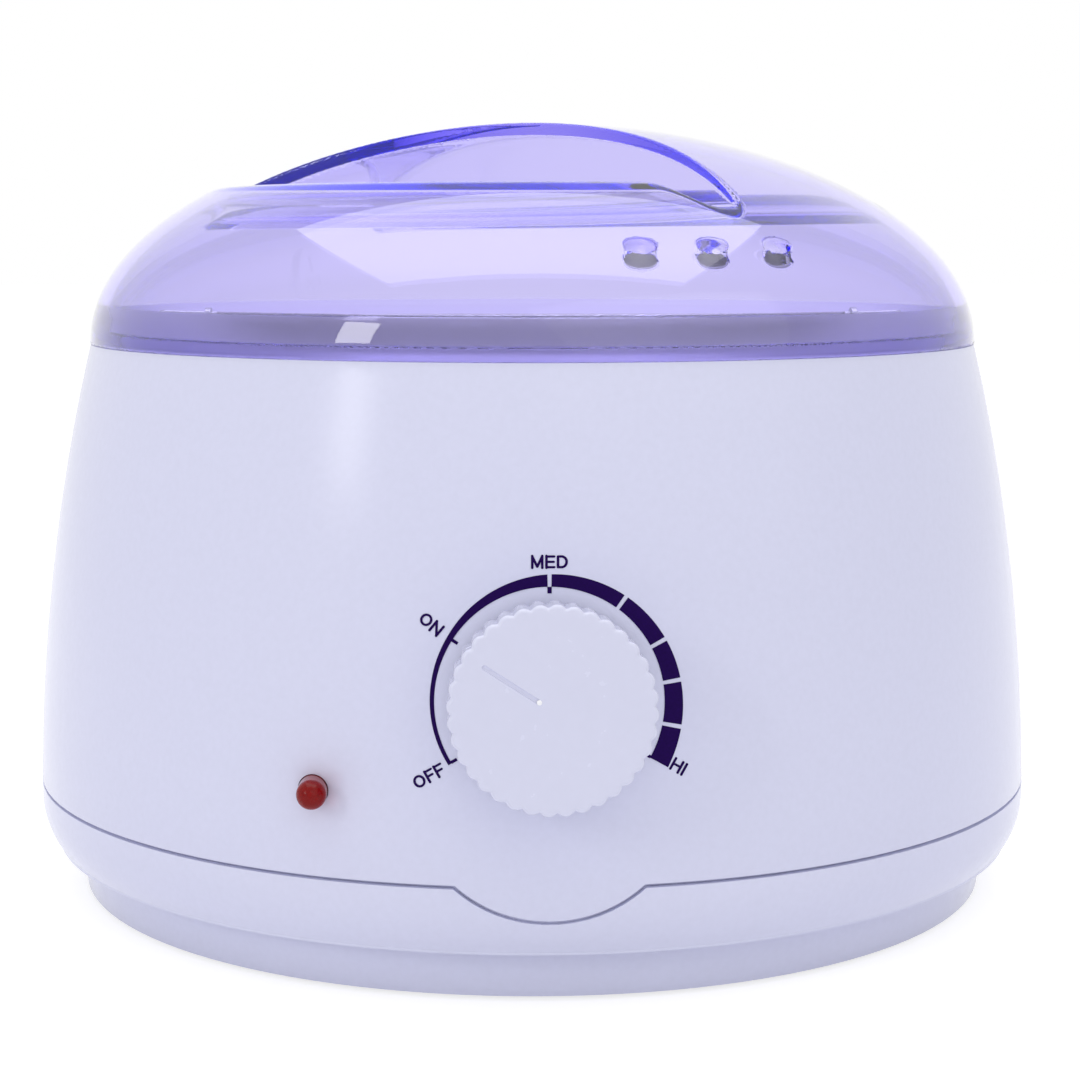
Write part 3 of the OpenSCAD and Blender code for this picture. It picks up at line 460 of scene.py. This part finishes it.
def gridValues(field, low, high, step):
    # the field's value at each point of a grid, worked out one level at a time
    count = [int(math.ceil((b - a) / step)) + 1 for a, b in zip(low, high)]
    across, deep, up = [a + step * np.arange(n) for a, n in zip(low, count)]
    value = np.empty(count, dtype=np.float32)
    for k, z in enumerate(up):
        x, y = np.meshgrid(across, deep, indexing="ij")
        value[:, :, k] = field(x, y, np.full_like(x, z))
    return value


def cellPoints(value, cells):
    # one point in each cell that the surface passes through: the middle of where it cuts the cell's edges
    inside = value < 0
    total = np.zeros(cells, dtype=np.int8)
    for i, j, k in cellCorners:
        total += inside[i:i + cells[0], j:j + cells[1], k:k + cells[2]]
    active = np.argwhere((total > 0) & (total < len(cellCorners)))
    sums, hits = np.zeros((len(active), 3)), np.zeros(len(active))
    for a in cellCorners:
        for axis in range(3):
            if a[axis]:
                continue
            b = list(a)
            b[axis] = 1
            va = value[tuple((active + a).T)]
            vb = value[tuple((active + b).T)]
            cross = (va < 0) != (vb < 0)
            point = np.array(a, dtype=float)[None, :].repeat(cross.sum(), 0)
            point[:, axis] += va[cross] / (va[cross] - vb[cross])
            sums[cross] += point
            hits[cross] += 1
    return active, active + sums / hits[:, None]


def cellQuads(inside, index):
    # a quad round each edge of the grid that the surface cuts, through the points of the four cells there
    cells = index.shape
    quads = []
    for axis in range(3):
        o1, o2 = [d for d in range(3) if d != axis]
        first, second = [slice(None)] * 3, [slice(None)] * 3
        first[axis], second[axis] = slice(0, -1), slice(1, None)
        flips = np.argwhere(inside[tuple(first)] != inside[tuple(second)])
        beside = flips[:, [o1, o2]]
        flips = flips[((beside > 0) & (beside < [cells[o1], cells[o2]])).all(axis=1)]
        ring = []
        for d1, d2 in ((-1, -1), (0, -1), (0, 0), (-1, 0)):
            spot = flips.copy()
            spot[:, o1] += d1
            spot[:, o2] += d2
            ring.append(index[tuple(spot.T)])
        ring = np.stack(ring, axis=1)
        startsInside = inside[tuple(flips.T)]
        backwards = startsInside if axis == 1 else ~startsInside
        ring[backwards] = ring[backwards][:, ::-1]
        quads.append(ring)
    quads = np.concatenate(quads)
    return quads[(quads >= 0).all(axis=1)]


def fieldSlope(field, points, probe):
    rises = [field(*(points + step).T) - field(*(points - step).T) for step in probe * np.eye(3)]
    return np.stack(rises, axis=1) / (2 * probe)


def netMesh(field, low, high, step, look):
    # a mesh of quads along the surface where the field is zero, drawn onto it and with its own normals
    value = gridValues(field, low, high, step)
    cells = tuple(n - 1 for n in value.shape)
    active, points = cellPoints(value, cells)
    index = -np.ones(cells, dtype=np.int64)
    index[tuple(active.T)] = np.arange(len(active))
    quads = cellQuads(value < 0, index)
    points = np.array(low) + step * points
    most = look["mostMove"] * step
    for _ in range(look["passes"]):
        slope = fieldSlope(field, points, look["probe"])
        steep = np.maximum((slope * slope).sum(1), look["leastSlope"])
        points += np.clip(-slope * (field(*points.T) / steep)[:, None], -most, most)
    normals = fieldSlope(field, points, look["probe"])
    normals /= np.linalg.norm(normals, axis=1)[:, None] + tiny
    return points, quads, normals


def lidPoints(look):
    cell = lidNet["grid"] * 1
    spread = look["rim"] + 2 * cell
    low = (-spread, -spread, look["bottom"] - look["skirtDepth"] - 2 * cell)
    high = (spread, spread, look["bottom"] + look["height"] + 2 * cell)
    points, quads, normals = netMesh(lidField, low, high, cell, lidNet)
    points[:, 1] += axisY
    return points, quads, normals


points, quads, normals = lidPoints(lidPiece)
lidMesh = newMesh("clearLid", points.tolist(), quads.tolist())
clearLid = placePiece("clearLid", lidMesh, "lid", made["lidViolet"])
lidMesh.normals_split_custom_set_from_vertices(normals.tolist())
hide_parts("lid")
print("lid made:", len(quads), "faces")


# knob: each scallop has its steps round the rim, valley is the least radius between two, and the lengths are
# measured from the dial's place on the wall
knobPiece = {
    "dialZ": 49.3 * mm, "turn": 57.3, "scallops": 36, "steps": 8, "outer": 15.75 * mm, "bump": 1.5 * mm,
    "valley": 15.22 * mm, "back": 1.2 * mm, "front": 13.0 * mm, "edge": 0.7 * mm, "edgeSteps": 6,
    "footShare": 0.4, "crown": 0.25 * mm, "wall": 1.6 * mm, "draft": 0.3 * mm, "lip": 0.2 * mm,
    "faceSteps": 13, "faceShare": 0.98, "fade": 3, "sharp": 42,
    "lineFrom": 2.4 * mm, "lineTo": 12.0 * mm, "lineRound": 0.40 * mm, "lineDeep": 0.30 * mm,
    "lineSides": 24, "lineEnds": 6, "dot": 0.42 * mm, "dotUp": 0.16 * mm, "dotSunk": 0.1 * mm, "dotSteps": 6,
}


def dialFrame(height):
    # local X to the right, Y up the wall and Z straight out of it
    t = math.radians(wallTilt(height))
    right = Vector((1, 0, 0))
    up = Vector((0, math.sin(t), math.cos(t)))
    out = Vector((0, -math.cos(t), math.sin(t)))
    turn = Matrix((right, up, out)).transposed().to_4x4()
    return Matrix.Translation((0, axisY - wallRadius(height), height)) @ turn


dialPlace = dialFrame(knobPiece["dialZ"])
knobPlace = dialPlace @ Matrix.Rotation(math.radians(knobPiece["turn"]), 4, "Z")


def knobForm(name, form):
    # a mesh that is made standing on the dial's place, turned as the knob is
    points, faces = form
    return newMesh(name, [knobPlace @ Vector(p) for p in points], faces)


def scallopRadius(angle, look):
    pitch = 2 * math.pi / look["scallops"]
    off = (angle + pitch / 2) % pitch - pitch / 2
    centre = look["outer"] - look["bump"]
    side = centre * math.sin(off)
    return max(look["valley"], centre * math.cos(off) + math.sqrt(look["bump"] ** 2 - side * side))


def faceHeight(r, look):
    return look["front"] - look["crown"] * (r / (look["valley"] - look["edge"])) ** 2


def knobMesh(look):
    around = look["scallops"] * look["steps"]
    angles = [2 * math.pi * i / around for i in range(around)]
    rims = [scallopRadius(a, look) for a in angles]
    points, rings = [], []

    def addRing(height, inset, even=0.0):
        rings.append(len(points))
        for a, rim in zip(angles, rims):
            r = (rim - inset) * (1 - even) + (look["valley"] - inset) * even
            points.append((-r * math.sin(a), r * math.cos(a), height))

    inner, foot = look["wall"], look["edge"] * look["footShare"]
    floor = look["front"] - look["wall"]
    addRing(floor, inner + look["draft"], 1)
    addRing(look["back"] + look["lip"], inner, 1)
    addRing(look["back"], inner - look["lip"], 1)
    addRing(look["back"], foot)
    addRing(look["back"] + foot, 0.0)
    for i in range(look["edgeSteps"] + 1):  # the rounded front edge
        a = math.pi / 2 * i / look["edgeSteps"]
        height = look["front"] - look["crown"] - look["edge"] * (1 - math.sin(a))
        addRing(height, look["edge"] * (1 - math.cos(a)))
    for i in range(1, look["faceSteps"]):  # the face, a little crowned and with the scallops fading out
        share = i / look["faceSteps"]
        height = look["front"] - look["crown"] * (1 - share) ** 2
        inset = look["edge"] + share * (look["valley"] - look["edge"]) * look["faceShare"]
        addRing(height, inset, min(1, share * look["fade"]))
    faces = []
    for first, second in zip(rings, rings[1:]):
        faces += bandFaces(first, second, around)
    faces += capFaces(rings[0], len(points), around, flip=True)
    faces += capFaces(rings[-1], len(points) + 1, around)
    points += [(0, 0, floor), (0, 0, look["front"])]
    return points, faces


def grooveTool(look):
    # a round-ended rod laid along the pointer, lowered until it bites lineDeep into the face
    rod, up, around = look["lineRound"], look["lineRound"] - look["lineDeep"], look["lineSides"]
    turns = [math.pi / 2 * i / look["lineEnds"] for i in range(look["lineEnds"] + 1)]
    stations = [(look["lineFrom"] - rod * math.cos(t), rod * math.sin(t)) for t in turns]
    stations += [(look["lineTo"] + rod * math.cos(t), rod * math.sin(t)) for t in reversed(turns)]
    points, faces = [], []
    for y, r in stations[1:-1]:
        for i in range(around):
            a = 2 * math.pi * i / around
            points.append((r * math.cos(a), y, faceHeight(y, look) + up + r * math.sin(a)))
    rings = range(0, len(points), around)
    for first, second in zip(rings, rings[1:]):
        faces += bandFaces(second, first, around)
    for ring, y, flip in ((rings[0], stations[0][0], False), (rings[-1], stations[-1][0], True)):
        faces += capFaces(ring, len(points), around, flip)
        points.append((0, y, faceHeight(y, look) + up))
    return points, faces


def dotMesh(look):
    # the small dome at the pointer's inner end, its foot sunk in the face
    around, steps, middle = look["lineSides"], look["dotSteps"], look["lineFrom"]
    foot = faceHeight(middle, look) - look["dotSunk"]
    points, faces = [], []
    for k in range(steps):
        a = math.pi / 2 * k / steps
        r = look["dot"] * math.cos(a)
        for i in range(around):
            t = 2 * math.pi * i / around
            height = foot + (look["dotUp"] + look["dotSunk"]) * math.sin(a)
            points.append((r * math.cos(t), middle + r * math.sin(t), height))
    for k in range(steps - 1):
        faces += bandFaces(k * around, (k + 1) * around, around)
    faces += capFaces((steps - 1) * around, len(points), around)
    faces += capFaces(0, len(points) + 1, around, flip=True)
    points += [(0, middle, faceHeight(middle, look) + look["dotUp"]), (0, middle, foot)]
    return points, faces


knobShape = knobForm("dialKnob", knobMesh(knobPiece))
dialKnob = placePiece("dialKnob", knobShape, "knob", made["knobWhite"])
cutter = newObject("grooveTool", knobForm("grooveTool", grooveTool(knobPiece)))
groove = dialKnob.modifiers.new("groove", "BOOLEAN")
groove.operation, groove.solver, groove.object = "DIFFERENCE", "EXACT", cutter
applied(dialKnob).set_sharp_from_angle(angle=math.radians(knobPiece["sharp"]))
bpy.data.objects.remove(cutter)
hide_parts("knob")

dotShape = knobForm("pointerDot", dotMesh(knobPiece))
placePiece("pointerDot", dotShape, "knob", made["dotWhite"])
print("knob made")


# dial print: outerAt has angles and radii in mm, ticks have angles and widths in degrees, and words have
# their middles in mm and their turn; stroke and space are in cap heights
dialPrint = {
    "lift": 0.02 * mm, "thick": 0.03 * mm, "inner": 17.7 * mm,
    "outerAt": ((211.9, 18.3), (170, 18.4), (147.3, 18.6), (90, 19.6), (-29.4, 20.9)),
    "tickIn": 16.7 * mm, "ticks": ((211.4, 1.6), (147.3, 1.6), (90.0, 2.2), (-29.0, 1.6)),
    "gaps": (90.0, 53.9, 28.1, 9.1, -11.3), "gapWide": 1.9, "step": 1.2, "settle": 6,
    "words": (("OFF", -18.6, -11.4, 30), ("ON", -18.1, 12.0, -40), ("MED", 0.0, 21.5, 0),
              ("HI", 19.9, -10.2, -30)),
    "capHeight": 1.85 * mm, "stretch": 1.12, "stroke": 0.19, "space": 0.17, "arcPoints": 49,
}


def onWall(x, y, lift):
    # the point of the wall straight behind (x, y) of the dial's plane, raised by lift
    out = dialPlace.to_3x3() @ Vector((0, 0, 1))
    point = dialPlace @ Vector((x, y, 0))
    for _ in range(dialPrint["settle"]):
        flat = Vector((point.x, point.y - axisY, 0))
        point = point - out * (flat.length - wallRadius(point.z))
    flat = Vector((point.x, point.y - axisY, 0)).normalized()
    return point + flat * lift


def outerRadius(angle):
    marks = dialPrint["outerAt"]
    for (a0, r0), (a1, r1) in zip(marks, marks[1:]):
        if angle >= a1:
            return (r0 + (r1 - r0) * (a0 - angle) / (a0 - a1)) * mm
    return marks[-1][1] * mm


def inkPatch(grid):
    # a thin patch of print that follows the wall: grid is rows of (x, y)
    rows, columns = len(grid), len(grid[0])
    low, high = dialPrint["lift"], dialPrint["lift"] + dialPrint["thick"]
    points = [onWall(x, y, lift) for lift in (high, low) for row in grid for x, y in row]
    half = rows * columns
    faces = []
    for r in range(rows - 1):
        for c in range(columns - 1):
            a, b = r * columns + c, (r + 1) * columns + c
            faces.append((a, a + 1, b + 1, b))
            faces.append((a + half, b + half, b + 1 + half, a + 1 + half))
    edge = [(0, c) for c in range(columns)] + [(r, columns - 1) for r in range(1, rows)]
    edge += [(rows - 1, c) for c in range(columns - 2, -1, -1)] + [(r, 0) for r in range(rows - 2, 0, -1)]
    loop = [r * columns + c for r, c in edge]
    for a, b in zip(loop, loop[1:] + loop[:1]):
        faces.append((b, a, a + half, b + half))
    return points, faces


def polar(angle, radius):
    a = math.radians(angle)
    return radius * math.cos(a), radius * math.sin(a)


def scalePrint(look):
    # the arc in its segments, then the ticks
    grids, shares = [], (0, 0.5, 1)
    stops = [look["outerAt"][0][0], *look["gaps"], look["outerAt"][-1][0]]
    for i, (a, b) in enumerate(zip(stops, stops[1:])):
        half = look["gapWide"] / 2
        a = a - (half if i else 0)
        b = b + (half if i < len(stops) - 2 else 0)
        n = max(2, int((a - b) / look["step"]) + 1)
        turns = [a + (b - a) * k / n for k in range(n + 1)]
        wide = [(t, outerRadius(t) - look["inner"]) for t in turns]
        grids.append([[polar(t, look["inner"] + w * share) for t, w in wide] for share in shares])
    for t, wide in look["ticks"]:
        reaches = [look["tickIn"] + share * (look["inner"] - look["tickIn"]) for share in shares]
        grids.append([[polar(t + wide / 2, r), polar(t - wide / 2, r)] for r in reaches])
    points, faces = [], []
    for grid in grids:
        morePoints, moreFaces = inkPatch(grid)
        faces += [tuple(len(points) + i for i in face) for face in moreFaces]
        points += morePoints
    return points, faces


def printPiece(name, form):
    placePiece(name, newMesh(name, *form), "housing", made["printPurple"], smooth=False)


printPiece("dialScale", scalePrint(dialPrint))
print("dial scale made")


# each letter has its width and its strokes, on a field 1 tall: lines by their ends, arcs by their centre,
# radii and angles
letterStrokes = {
    "O": (0.86, [("arc", 0.43, 0.5, 0.36, 0.43, 0, 360)]),
    "F": (0.62, [("line", 0.07, 0.0, 0.07, 1.0), ("line", 0.07, 0.94, 0.60, 0.94),
                 ("line", 0.07, 0.50, 0.52, 0.50)]),
    "N": (0.78, [("line", 0.07, 0.0, 0.07, 1.0), ("line", 0.07, 0.96, 0.71, 0.04),
                 ("line", 0.71, 0.0, 0.71, 1.0)]),
    "M": (0.88, [("line", 0.07, 0.0, 0.07, 1.0), ("line", 0.07, 0.96, 0.44, 0.10),
                 ("line", 0.44, 0.10, 0.81, 0.96), ("line", 0.81, 0.0, 0.81, 1.0)]),
    "E": (0.68, [("line", 0.07, 0.0, 0.07, 1.0), ("line", 0.07, 0.94, 0.64, 0.94),
                 ("line", 0.07, 0.50, 0.60, 0.50), ("line", 0.07, 0.06, 0.64, 0.06)]),
    "D": (0.78, [("line", 0.07, 0.06, 0.07, 0.94), ("line", 0.07, 0.94, 0.34, 0.94),
                 ("line", 0.07, 0.06, 0.34, 0.06), ("arc", 0.34, 0.5, 0.37, 0.44, -90, 90)]),
    "H": (0.78, [("line", 0.07, 0.0, 0.07, 1.0), ("line", 0.71, 0.0, 0.71, 1.0),
                 ("line", 0.07, 0.52, 0.71, 0.52)]),
    "I": (0.16, [("line", 0.08, 0.0, 0.08, 1.0)]),
}


# how a word is cut out of small cells and its outline drawn onto the strokes' edges, in cap heights
wordNet = {"cell": 0.035, "margin": 0.4, "passes": 4, "probe": 0.05, "leastSlope": 0.2, "mostMove": 0.7}


def wordWidth(word, look):
    return sum(letterStrokes[c][0] for c in word) + look["space"] * (len(word) - 1)


def strokeField(word, look, u, v):
    # how far (u, v) lies outside the nearest stroke, in cap heights; the word is centred on zero
    left = -wordWidth(word, look) / 2
    field = np.full_like(u, np.inf)
    for c in word:
        wide, strokes = letterStrokes[c]
        for kind, *stroke in strokes:
            if kind == "line":
                x0, y0, x1, y1 = stroke
                x0, x1, y0, y1 = x0 + left, x1 + left, y0 - 0.5, y1 - 0.5
                dx, dy = x1 - x0, y1 - y0
                along = np.clip(((u - x0) * dx + (v - y0) * dy) / (dx ** 2 + dy ** 2), 0, 1)
                far = np.hypot(u - x0 - along * dx, v - y0 - along * dy)
            else:
                cx, cy, rx, ry, a0, a1 = stroke
                turns = np.radians(np.linspace(a0, a1, look["arcPoints"]))
                px, py = cx + left + rx * np.cos(turns), cy - 0.5 + ry * np.sin(turns)
                far = np.min(np.hypot(u[..., None] - px, v[..., None] - py), axis=-1)
            field = np.minimum(field, far - look["stroke"] / 2)
        left += wide + look["space"]
    return field


def wordCells(word, look, net):
    # the grid's points, which of its cells hold ink, and how many inked cells meet at each point
    cell = net["cell"]
    columns = int((wordWidth(word, look) + net["margin"]) / cell)
    rows = int((1 + net["margin"]) / cell)
    across = (np.arange(columns + 1) - columns / 2) * cell
    up = (np.arange(rows + 1) - rows / 2) * cell
    u, v = np.meshgrid(across, up, indexing="ij")

    def outside(a, b):
        return strokeField(word, look, a, b)

    inked = outside(u[:-1, :-1] + cell / 2, v[:-1, :-1] + cell / 2) < 0
    meet = np.zeros(u.shape, dtype=int)
    for i in (0, 1):
        for j in (0, 1):
            meet[i:i + columns, j:j + rows] += inked
    edge = (meet > 0) & (meet < 4)
    h, most = net["probe"] * cell, net["mostMove"] * cell
    for _ in range(net["passes"]):
        a, b = u[edge], v[edge]
        far = outside(a, b)
        slopeU = (outside(a + h, b) - outside(a - h, b)) / (2 * h)
        slopeV = (outside(a, b + h) - outside(a, b - h)) / (2 * h)
        steep = np.maximum(slopeU ** 2 + slopeV ** 2, net["leastSlope"])
        u[edge] = a - np.clip(slopeU * far / steep, -most, most)
        v[edge] = b - np.clip(slopeV * far / steep, -most, most)
    return u, v, inked, meet


def wordMesh(word, x, y, turn, look):
    # the word's inked cells laid on the wall, the same cells behind them, and the sides between
    u, v, inked, meet = wordCells(word, look, wordNet)
    used = np.argwhere(meet > 0)
    number = -np.ones(meet.shape, dtype=int)
    number[tuple(used.T)] = np.arange(len(used))
    cap, lean = look["capHeight"], math.radians(turn)
    points = []
    for lift in (look["lift"] + look["thick"], look["lift"]):
        for i, j in used:
            a, b = u[i, j] * cap * look["stretch"], v[i, j] * cap
            across, up = a * math.cos(lean) - b * math.sin(lean), a * math.sin(lean) + b * math.cos(lean)
            points.append(onWall(x * mm + across, y * mm + up, lift))
    top = []
    for i, j in np.argwhere(inked):
        top.append((number[i, j], number[i + 1, j], number[i + 1, j + 1], number[i, j + 1]))
    shared = {(a, b) for f in top for a, b in zip(f, f[1:] + f[:1])}
    under = [tuple(a + len(used) for a in reversed(f)) for f in top]
    side = [(b, a, a + len(used), b + len(used)) for a, b in shared if (b, a) not in shared]
    return points, top + under + side


for word, x, y, turn in dialPrint["words"]:
    printPiece("word" + word.title(), wordMesh(word, x, y, turn, dialPrint))
print("dial words made")


# floor, room, lamps and camera: what sees the floor gets seenTone and the glow of lift, and what the floor
# lights gets floorTone
stageLook = {
    "floor": 6.0, "lift": 0.74, "seenTone": (0.42, 0.42, 0.43), "floorTone": (0.90, 0.90, 0.92),
    "world": 0.67, "tint": (0.98, 0.98, 1.0), "aim": (0, 0, 0.08),
    "bounces": 40, "clearBounces": 36, "glossyBounces": 16,
}


def seenRays(tree):
    # 1 for what the camera, a mirror or the clear lid looks at, so the background is white to them
    path = addNode(tree, "LightPath").outputs
    straight = addMath(tree, "MAXIMUM", path["Is Camera Ray"], path["Is Transmission Ray"])
    return addMath(tree, "MAXIMUM", straight, path["Is Glossy Ray"])


def paleFloor(look):
    half = look["floor"]
    corners = [(-half, -half, 0), (half, -half, 0), (half, half, 0), (-half, half, 0)]
    floor = newObject("floor", newMesh("floor", corners, [(0, 1, 2, 3)]))
    material = bpy.data.materials.new("paleFloor")
    tree = clearTree(material)
    matt = addNode(tree, "BsdfDiffuse", {"Color": (*look["floorTone"], 1)})
    seen = addNode(tree, "BsdfDiffuse", {"Color": (*look["seenTone"], 1)})
    glow = addNode(tree, "Emission", {"Strength": look["lift"]})
    both = addNode(tree, "AddShader", {0: seen.outputs[0], 1: glow.outputs[0]})
    pick = addNode(tree, "MixShader", {"Fac": seenRays(tree), 1: matt.outputs[0], 2: both.outputs[0]})
    addNode(tree, "OutputMaterial", {"Surface": pick.outputs[0]})
    floor.data.materials.append(material)


def paleRoom(look):
    world = bpy.data.worlds.new("paleRoom")
    tree = clearTree(world)
    room = addNode(tree, "Background", {"Color": (*look["tint"], 1), "Strength": look["world"]})
    back = addNode(tree, "Background", {"Color": (1, 1, 1, 1), "Strength": 1.0})
    pick = addNode(tree, "MixShader", {"Fac": seenRays(tree), 1: room.outputs[0], 2: back.outputs[0]})
    addNode(tree, "OutputWorld", {"Surface": pick.outputs[0]})
    bpy.context.scene.world = world


paleFloor(stageLook)
paleRoom(stageLook)
rays = bpy.context.scene.cycles  # enough bounces for light that runs along inside the clear lid
rays.max_bounces = stageLook["bounces"]
rays.transmission_bounces = stageLook["clearBounces"]
rays.glossy_bounces = stageLook["glossyBounces"]

lamps = {
    "keyLeft": {"at": (-0.68, -0.68, 0.44), "size": (0.155, 0.285), "power": 1.0},
    "topSoft": {"at": (0.0, 0.05, 1.05), "size": (1.1, 0.9), "power": 5.0},
    "frontSoft": {"at": (0.70, -1.00, 0.75), "size": (1.5, 1.1), "power": 1.85},
}
for name, look in lamps.items():
    data = bpy.data.lights.new(name, "AREA")
    data.shape, data.energy = "RECTANGLE", look["power"]
    data.size, data.size_y = look["size"]
    lamp = newObject(name, data)
    lamp.location = look["at"]
    aim = Vector(stageLook["aim"]) - Vector(look["at"])
    lamp.rotation_euler = aim.to_track_quat("-Z", "Y").to_euler()

cameraLook = {
    "at": (-12.77 * mm, axisY - 430.18 * mm, 119.0 * mm), "turn": (82.502, 0.0, -1.7), "lens": 75.406,
    "shift": 0.00718, "sensor": 36, "clip": (0.01, 20),
}
cameraData = bpy.data.cameras.new("camera")
cameraData.sensor_width, cameraData.lens = cameraLook["sensor"], cameraLook["lens"]
cameraData.shift_x = cameraLook["shift"]
cameraData.clip_start, cameraData.clip_end = cameraLook["clip"]
camera = newObject("camera", cameraData)
camera.location = cameraLook["at"]
camera.rotation_euler = [math.radians(a) for a in cameraLook["turn"]]
bpy.context.scene.camera = camera
bpy.context.scene.view_settings.view_transform = "Standard"
print("stage, lamps and camera set")
